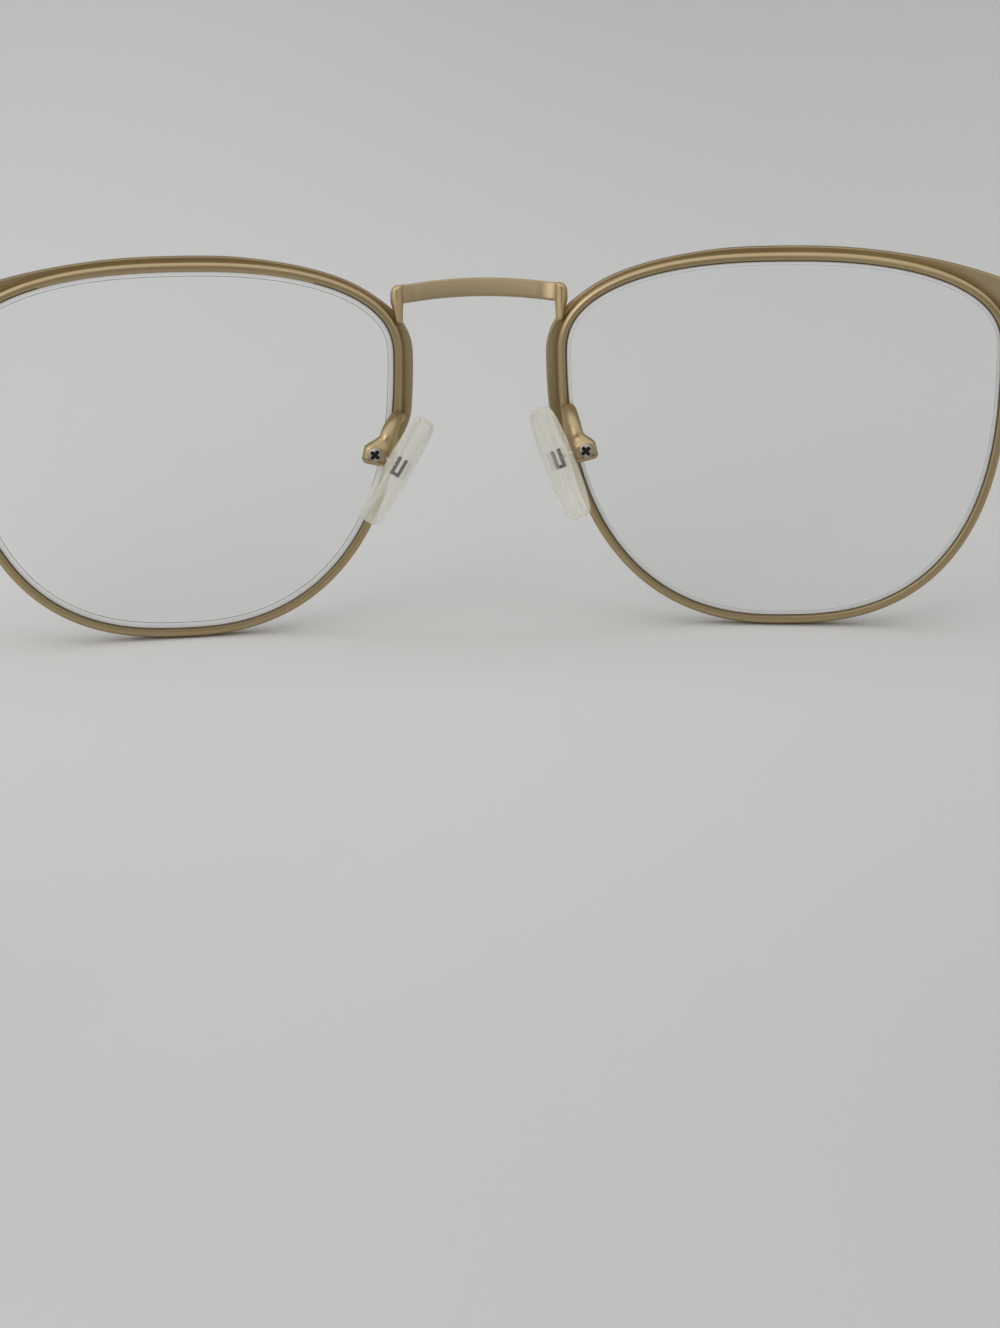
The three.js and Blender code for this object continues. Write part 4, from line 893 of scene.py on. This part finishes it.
hinge_at = Matrix.Translation(joint_at["right_temple_fold"])
leaf_face, leaf_start = KNUCKLE_RADIUS + KNUCKLE_GAP - SOLDER, KNUCKLE_RADIUS + KNUCKLE_GAP
leaf_outline = [Vector((KNUCKLE_RADIUS * math.cos(angle), KNUCKLE_RADIUS * math.sin(angle)))
                for angle in spread(math.pi, 2 * math.pi, KNUCKLE_STEPS)]
leaf_outline += [Vector(corner) for corner in (
    (leaf_face, leaf_start), (leaf_face, leaf_start + LEAF_LENGTH),
    (leaf_face - LEAF_THICKNESS, leaf_start + LEAF_LENGTH),
    (leaf_face - LEAF_THICKNESS, leaf_start + KNUCKLE_RADIUS),
)]
leaf = slab(leaf_outline, -HINGE_HEIGHT / 2, HINGE_HEIGHT / 2, LEAF_EDGE)
pin_hole = turned([(HINGE_SCREW + PIN_PLAY, level) for level in (-HINGE_HEIGHT, HINGE_HEIGHT)])
cut = 4 * leaf_start, 2 * leaf_start
between = KNUCKLE_HEIGHT / 2 + KNUCKLE_PLAY
front_leaf = carved(leaf, bar(*cut, -between, between), pin_hole)
temple_leaf = carved(leaf, bar(*cut, KNUCKLE_HEIGHT / 2, HINGE_HEIGHT),
                     bar(*cut, -HINGE_HEIGHT, -KNUCKLE_HEIGHT / 2), pin_hole)
temple_leaf = placed(temple_leaf, Matrix.Rotation(math.pi, 4, "X"))
hinge_screw = screw(HINGE_SCREW, HINGE_HEIGHT + SOLDER, HINGE_HEAD)
hinge_seat = hinge_at @ Matrix.Translation((0, 0, HINGE_HEIGHT / 2 + SOLDER))
for side in SIDES:
    add_piece(f"{side}_end_piece_leaf", [placed(front_leaf, hinge_at)], [satin_gold], "front",
              f"{side}_front_hinge_leaf", side, crease=30)
    add_piece(f"{side}_temple_leaf", [placed(temple_leaf, hinge_at)], [satin_gold],
              f"{side}_temple_arm", f"{side}_temple_hinge_leaf", side, crease=30)
    add_screw(f"{side}_hinge_pin", hinge_screw, HINGE_HEAD, hinge_seat, f"{side}_hinge_screw", side)

# Temples: a flat strip of the plated metal runs level from each hinge, narrowing toward the ear, and
# goes on inside the tip as a thinner core wire that stiffens it and can be bent to the wearer.
TEMPLE_LENGTH, TEMPLE_THICKNESS, TEMPLE_END_HEIGHT, BUTT_GAP = 145, 1, 2.8, 0.3
EAR_RADIUS, EAR_ANGLE = 26, math.radians(45)
TIP_LEAD, TIP_HEIGHT, TIP_ROUND, TIP_LEAN = 14, 5, 3, 3
TIP_CORE_LENGTH, TIP_CORE_HEIGHT, TIP_CORE_THICKNESS, TIP_CORE_CORNER = 38, 1.6, 0.9, 0.3
TIP_GAP, TIP_CORE_LAP, TEMPLE_CORNER, TEMPLE_END_ROUND = 0.15, 0.2, 0.24, 0.15
TEMPLE_RINGS, TIP_CORE_RINGS = 24, 40

ear_drop = EAR_RADIUS * (1 - math.cos(EAR_ANGLE))
tip_lowest = math.hypot(TIP_ROUND * math.sin(EAR_ANGLE), TIP_HEIGHT / 2 * math.cos(EAR_ANGLE))
behind_ear = (joint_at["right_temple_fold"].z - tip_lowest - ear_drop) / math.sin(EAR_ANGLE)
course_end = TEMPLE_LENGTH - TIP_ROUND
ear_bend = course_end - behind_ear - EAR_RADIUS * EAR_ANGLE
tip_mouth = ear_bend - TIP_LEAD


def on_course(length, section):
    """A section set across the temple's course, at a length from the hinge."""
    angle = min(max((length - ear_bend) / EAR_RADIUS, 0), EAR_ANGLE)
    past = max(0, length - ear_bend - EAR_RADIUS * EAR_ANGLE)
    inward = TIP_LEAN * max(0, (length - ear_bend) / (course_end - ear_bend)) ** 2
    middle = Vector((
        KNUCKLE_RADIUS + KNUCKLE_GAP + TEMPLE_THICKNESS / 2 - inward,
        -min(length, ear_bend) - EAR_RADIUS * math.sin(angle) - past * math.cos(EAR_ANGLE),
        -EAR_RADIUS * (1 - math.cos(angle)) - past * math.sin(EAR_ANGLE),
    ))
    upright = Vector((0, -math.sin(angle), math.cos(angle)))
    return [middle + Vector((p.x, 0, 0)) + upright * p.y for p in section]


strip_from, strip_to = BUTT_GAP / 2, tip_mouth - TIP_GAP
temple_rings = []
for share in spread(0, 1, TEMPLE_RINGS):
    height = blend(HINGE_HEIGHT, TEMPLE_END_HEIGHT, share)
    temple_rings.append(on_course(blend(strip_from, strip_to, share),
                                  block_section(TEMPLE_THICKNESS, height, TEMPLE_CORNER)))
temple_strip = skin(with_ends(temple_rings, TEMPLE_END_ROUND, TEMPLE_END_ROUND))
core_section = block_section(TIP_CORE_THICKNESS, TIP_CORE_HEIGHT, TIP_CORE_CORNER)
temple_core = skin([on_course(length, core_section) for length in spread(
    strip_to - TIP_CORE_LAP, tip_mouth + TIP_CORE_LENGTH, TIP_CORE_RINGS)])
for side in SIDES:
    add_piece(f"{side}_temple_strip", [placed(part, hinge_at) for part in (temple_strip, temple_core)],
              [satin_gold], f"{side}_temple_arm", f"{side}_temple", side)

# Tips: brown cellulose acetate sleeves, pushed warm over the core wires, slim at the mouth and full
# behind the ear, tumbled to a gloss. The sheet they are cut from is mottled from amber to near black.
TIP_THICKNESS, TIP_SQUARE, TIP_FULL_AT, TIP_CLOSES = 3.2, 0.8, 0.7, math.radians(88)
TIP_MOUTH, TIP_MOUTH_ROUND = 0.62, 0.3
TIP_RINGS, TIP_END_RINGS, TIP_SIDES, DRIFT_SIZE, MOTTLE_SIZE = 90, 12, 40, 120, 210
ACETATE_DARK, ACETATE_WARM = (0.030, 0.013, 0.006, 1), (0.16, 0.062, 0.020, 1)

acetate, wire = new_finish("tumbled_brown_acetate")
place = wire.add("ShaderNodeTexCoord", output="Object")
drift = clouds(wire, place, DRIFT_SIZE, detail=3.0)
mottle = wire.add("ShaderNodeValToRGB", {"stops": ((0.40, (0, 0, 0, 1)), (0.66, (1, 1, 1, 1)))},
                  {"Fac": clouds(wire, place, MOTTLE_SIZE, detail=4.0)})
wire.add("ShaderNodeOutputMaterial", {}, {"Surface": wire.add("ShaderNodeBsdfPrincipled", {}, {
    "Base Color": tinted(wire, mottle, ACETATE_DARK, ACETATE_WARM),
    "Roughness": 0.12 + 0.14 * drift, "IOR": 1.48, "Coat Weight": 0.35 * drift, "Coat Roughness": 0.06,
})})


def tip_section(share):
    return [Vector((TIP_THICKNESS / 2 * fuller(x, TIP_SQUARE) * share, TIP_HEIGHT / 2 * y * share))
            for x, y in round_about(TIP_SIDES)]


tip_rings = [on_course(blend(tip_mouth, course_end, share),
                       tip_section(blend(TIP_MOUTH, 1, ease(share, 0, TIP_FULL_AT))))
             for share in spread(0, 1, TIP_RINGS)]
tip_rings += [on_course(course_end + TIP_ROUND * math.sin(angle), tip_section(math.cos(angle)))
              for angle in spread(0, TIP_CLOSES, TIP_END_RINGS)[1:]]
tip_sleeve = placed(skin(with_ends(tip_rings, start=TIP_MOUTH_ROUND)), hinge_at)
for side in SIDES:
    add_piece(f"{side}_acetate_tip", [tip_sleeve], [acetate], f"{side}_temple_arm",
              f"{side}_temple_tip", side)

# Stage: a sweep of pale matt paper, flat under the glasses and curved up behind them, in soft light.
# Most of that comes from a pale room, dim and warm low behind the camera; a broad lamp on the left,
# behind the camera, throws the faint shadows.
# The paper's tones carry painted light and shade: darker near the camera, a little darker up the
# backdrop, lighter on the left.
PAPER_SHADED_NEAR, PAPER, PAPER_FAR = (0.56, 0.56, 0.554, 1), (0.63, 0.63, 0.623, 1), (0.615, 0.617, 0.617, 1)
PAPER_LIT_LEFT, PAPER_SHADED_RIGHT, PALE_WALL = (1.06, 1.06, 1.06, 1), (0.96, 0.96, 0.96, 1), (0.56, 0.56, 0.556, 1)
NEAR_TO_MIDDLE, MIDDLE_TO_FAR, LEFT_TO_RIGHT, FIBRE_SIZE = (-0.1, 0.06), (0.06, 0.5), (-0.1, 0.1), 900
SWEEP_FRONT, SWEEP_TURN, SWEEP_RADIUS, SWEEP_TOP, SWEEP_HALF = -1.4, 0.95, 0.6, 2.2, 2.6
SWEEP_STEPS, SWEEP_UNDER = 24, 0.00002
LAMP_AT, LAMP_AIM, LAMP_SIZE, LAMP_WATTS = Vector((-0.52, -0.86, 0.56)), Vector((0, 0.06, 0.02)), 0.75, 3
GLOW_WAY, GLOW_LOW, GLOW_HIGH = (-0.4, 0, 0.917), (0.64, 0.64, 0.64, 1), (1.14, 1.14, 1.14, 1)
DIM_WAY, DIM_RANGE, DIM_TONE = (0, -0.8, -1), (0.1, 0.75), (0.44, 0.43, 0.41, 1)
DARK_WAY, DARK_RANGE, DARK_TONE = (-0.17, -0.98, 0.1), (0.76, 0.97), (0.10, 0.09, 0.075, 1)

sweep_line = [Vector((SWEEP_FRONT, 0)), Vector((0, 0)), Vector((SWEEP_TURN, 0))]
sweep_line += [Vector((SWEEP_TURN + SWEEP_RADIUS * math.sin(a), SWEEP_RADIUS * (1 - math.cos(a))))
               for a in spread(0, math.pi / 2, SWEEP_STEPS)[1:]]
sweep_line.append(Vector((SWEEP_TURN + SWEEP_RADIUS, SWEEP_TOP)))
sweep_points = [Vector((x, p.x, p.y - SWEEP_UNDER))
                for p in sweep_line for x in (-SWEEP_HALF, SWEEP_HALF)]
sweep_faces = [(k, k + 1, k + 3, k + 2) for k in range(0, len(sweep_points) - 2, 2)]
paper, wire = new_finish("pale_matt_paper")
place = wire.add("ShaderNodeTexCoord", output="Object")
# Painted light and shade on the paper: darker toward the camera and a little darker up the backdrop,
# lighter on the left than the right.
near_shade_tone = tinted(wire, along(wire, place, "Y", *NEAR_TO_MIDDLE), PAPER_SHADED_NEAR, PAPER)
falloff_tone = tinted(wire, along(wire, place, "Y", *MIDDLE_TO_FAR), near_shade_tone, PAPER_FAR)
painted_side_light = tinted(wire, along(wire, place, "X", *LEFT_TO_RIGHT), PAPER_LIT_LEFT, PAPER_SHADED_RIGHT)
paper_tone = wire.add("ShaderNodeMix", {"data_type": "RGBA", "blend_type": "MULTIPLY"},
                      {"Factor": 1.0, "A": falloff_tone, "B": painted_side_light})
fibre = clouds(wire, place, FIBRE_SIZE, detail=3.0)
wire.add("ShaderNodeOutputMaterial", {}, {"Surface": wire.add("ShaderNodeBsdfPrincipled", {}, {
    "Base Color": paper_tone, "Roughness": 0.82 + 0.1 * fibre, "Specular IOR Level": 0.15,
})})
sweep = bpy.data.objects.new("paper_sweep", mesh_of("paper_sweep", [(sweep_points, sweep_faces)], 1))
for face in sweep.data.polygons:
    face.use_smooth = True
sweep.data.materials.append(paper)
bpy.context.collection.objects.link(sweep)

lamp = bpy.data.lights.new("window_side_lamp", "AREA")
lamp.shape, lamp.size, lamp.energy = "DISK", LAMP_SIZE, LAMP_WATTS
lamp_head = bpy.data.objects.new("window_side_lamp", lamp)
lamp_head.location = LAMP_AT
lamp_head.rotation_euler = (LAMP_AIM - LAMP_AT).to_track_quat("-Z", "Y").to_euler()
bpy.context.collection.objects.link(lamp_head)

pale_room = bpy.data.worlds.new("pale_room")
pale_room.use_nodes = True
pale_room.node_tree.nodes.clear()
wire = Wire(pale_room.node_tree)
looking = wire.add("ShaderNodeTexCoord", output="Generated")


def turned_to(way):
    """How squarely a look faces a direction."""
    return wire.add("ShaderNodeVectorMath", {"operation": "DOT_PRODUCT"}, {0: looking, 1: way},
                    output="Value")


glow = wire.add("ShaderNodeValToRGB", {"stops": ((0.0, GLOW_LOW), (1.0, GLOW_HIGH))},
                {"Fac": turned_to(GLOW_WAY)})
dimmed = tinted(wire, eased(wire, turned_to(DIM_WAY), *DIM_RANGE), glow, DIM_TONE)
shaded = tinted(wire, eased(wire, turned_to(DARK_WAY), *DARK_RANGE), dimmed, DARK_TONE)
seen = wire.add("ShaderNodeLightPath", output="Is Camera Ray")
wire.add("ShaderNodeOutputWorld", {}, {"Surface": wire.add("ShaderNodeBackground", {}, {
    "Color": tinted(wire, seen, shaded, PALE_WALL), "Strength": 1.0,
})})
bpy.context.scene.world = pale_room

# Camera: behind the glasses and a little above them, as the photograph was taken. Its place, turn and
# focal length were fitted until the outlines of the rims, bridge and pads lay on the photograph's.
CAMERA_AT = Vector((-10.929, -257.194, 109.69)) * MM
PITCH, YAW, ROLL = (math.radians(angle) for angle in (-19.449, -2.252, -0.538))
CAMERA_LENS, SENSOR_WIDTH, NEAREST = 78.3, 36, 0.01
ahead = Vector((-math.sin(YAW) * math.cos(PITCH), math.cos(YAW) * math.cos(PITCH), math.sin(PITCH)))
level_right = Vector((math.cos(YAW), math.sin(YAW), 0))
level_top = level_right.cross(ahead)
picture_right = level_right * math.cos(ROLL) + level_top * math.sin(ROLL)
picture_top = level_top * math.cos(ROLL) - level_right * math.sin(ROLL)
camera = bpy.data.objects.new("camera", bpy.data.cameras.new("camera"))
camera.data.lens, camera.data.sensor_width, camera.data.clip_start = CAMERA_LENS, SENSOR_WIDTH, NEAREST
camera.matrix_world = Matrix.Translation(CAMERA_AT) @ on_axes(picture_right, picture_top, -ahead)
bpy.context.collection.objects.link(camera)
bpy.context.scene.camera = camera
bpy.context.scene.view_settings.view_transform = "Standard"
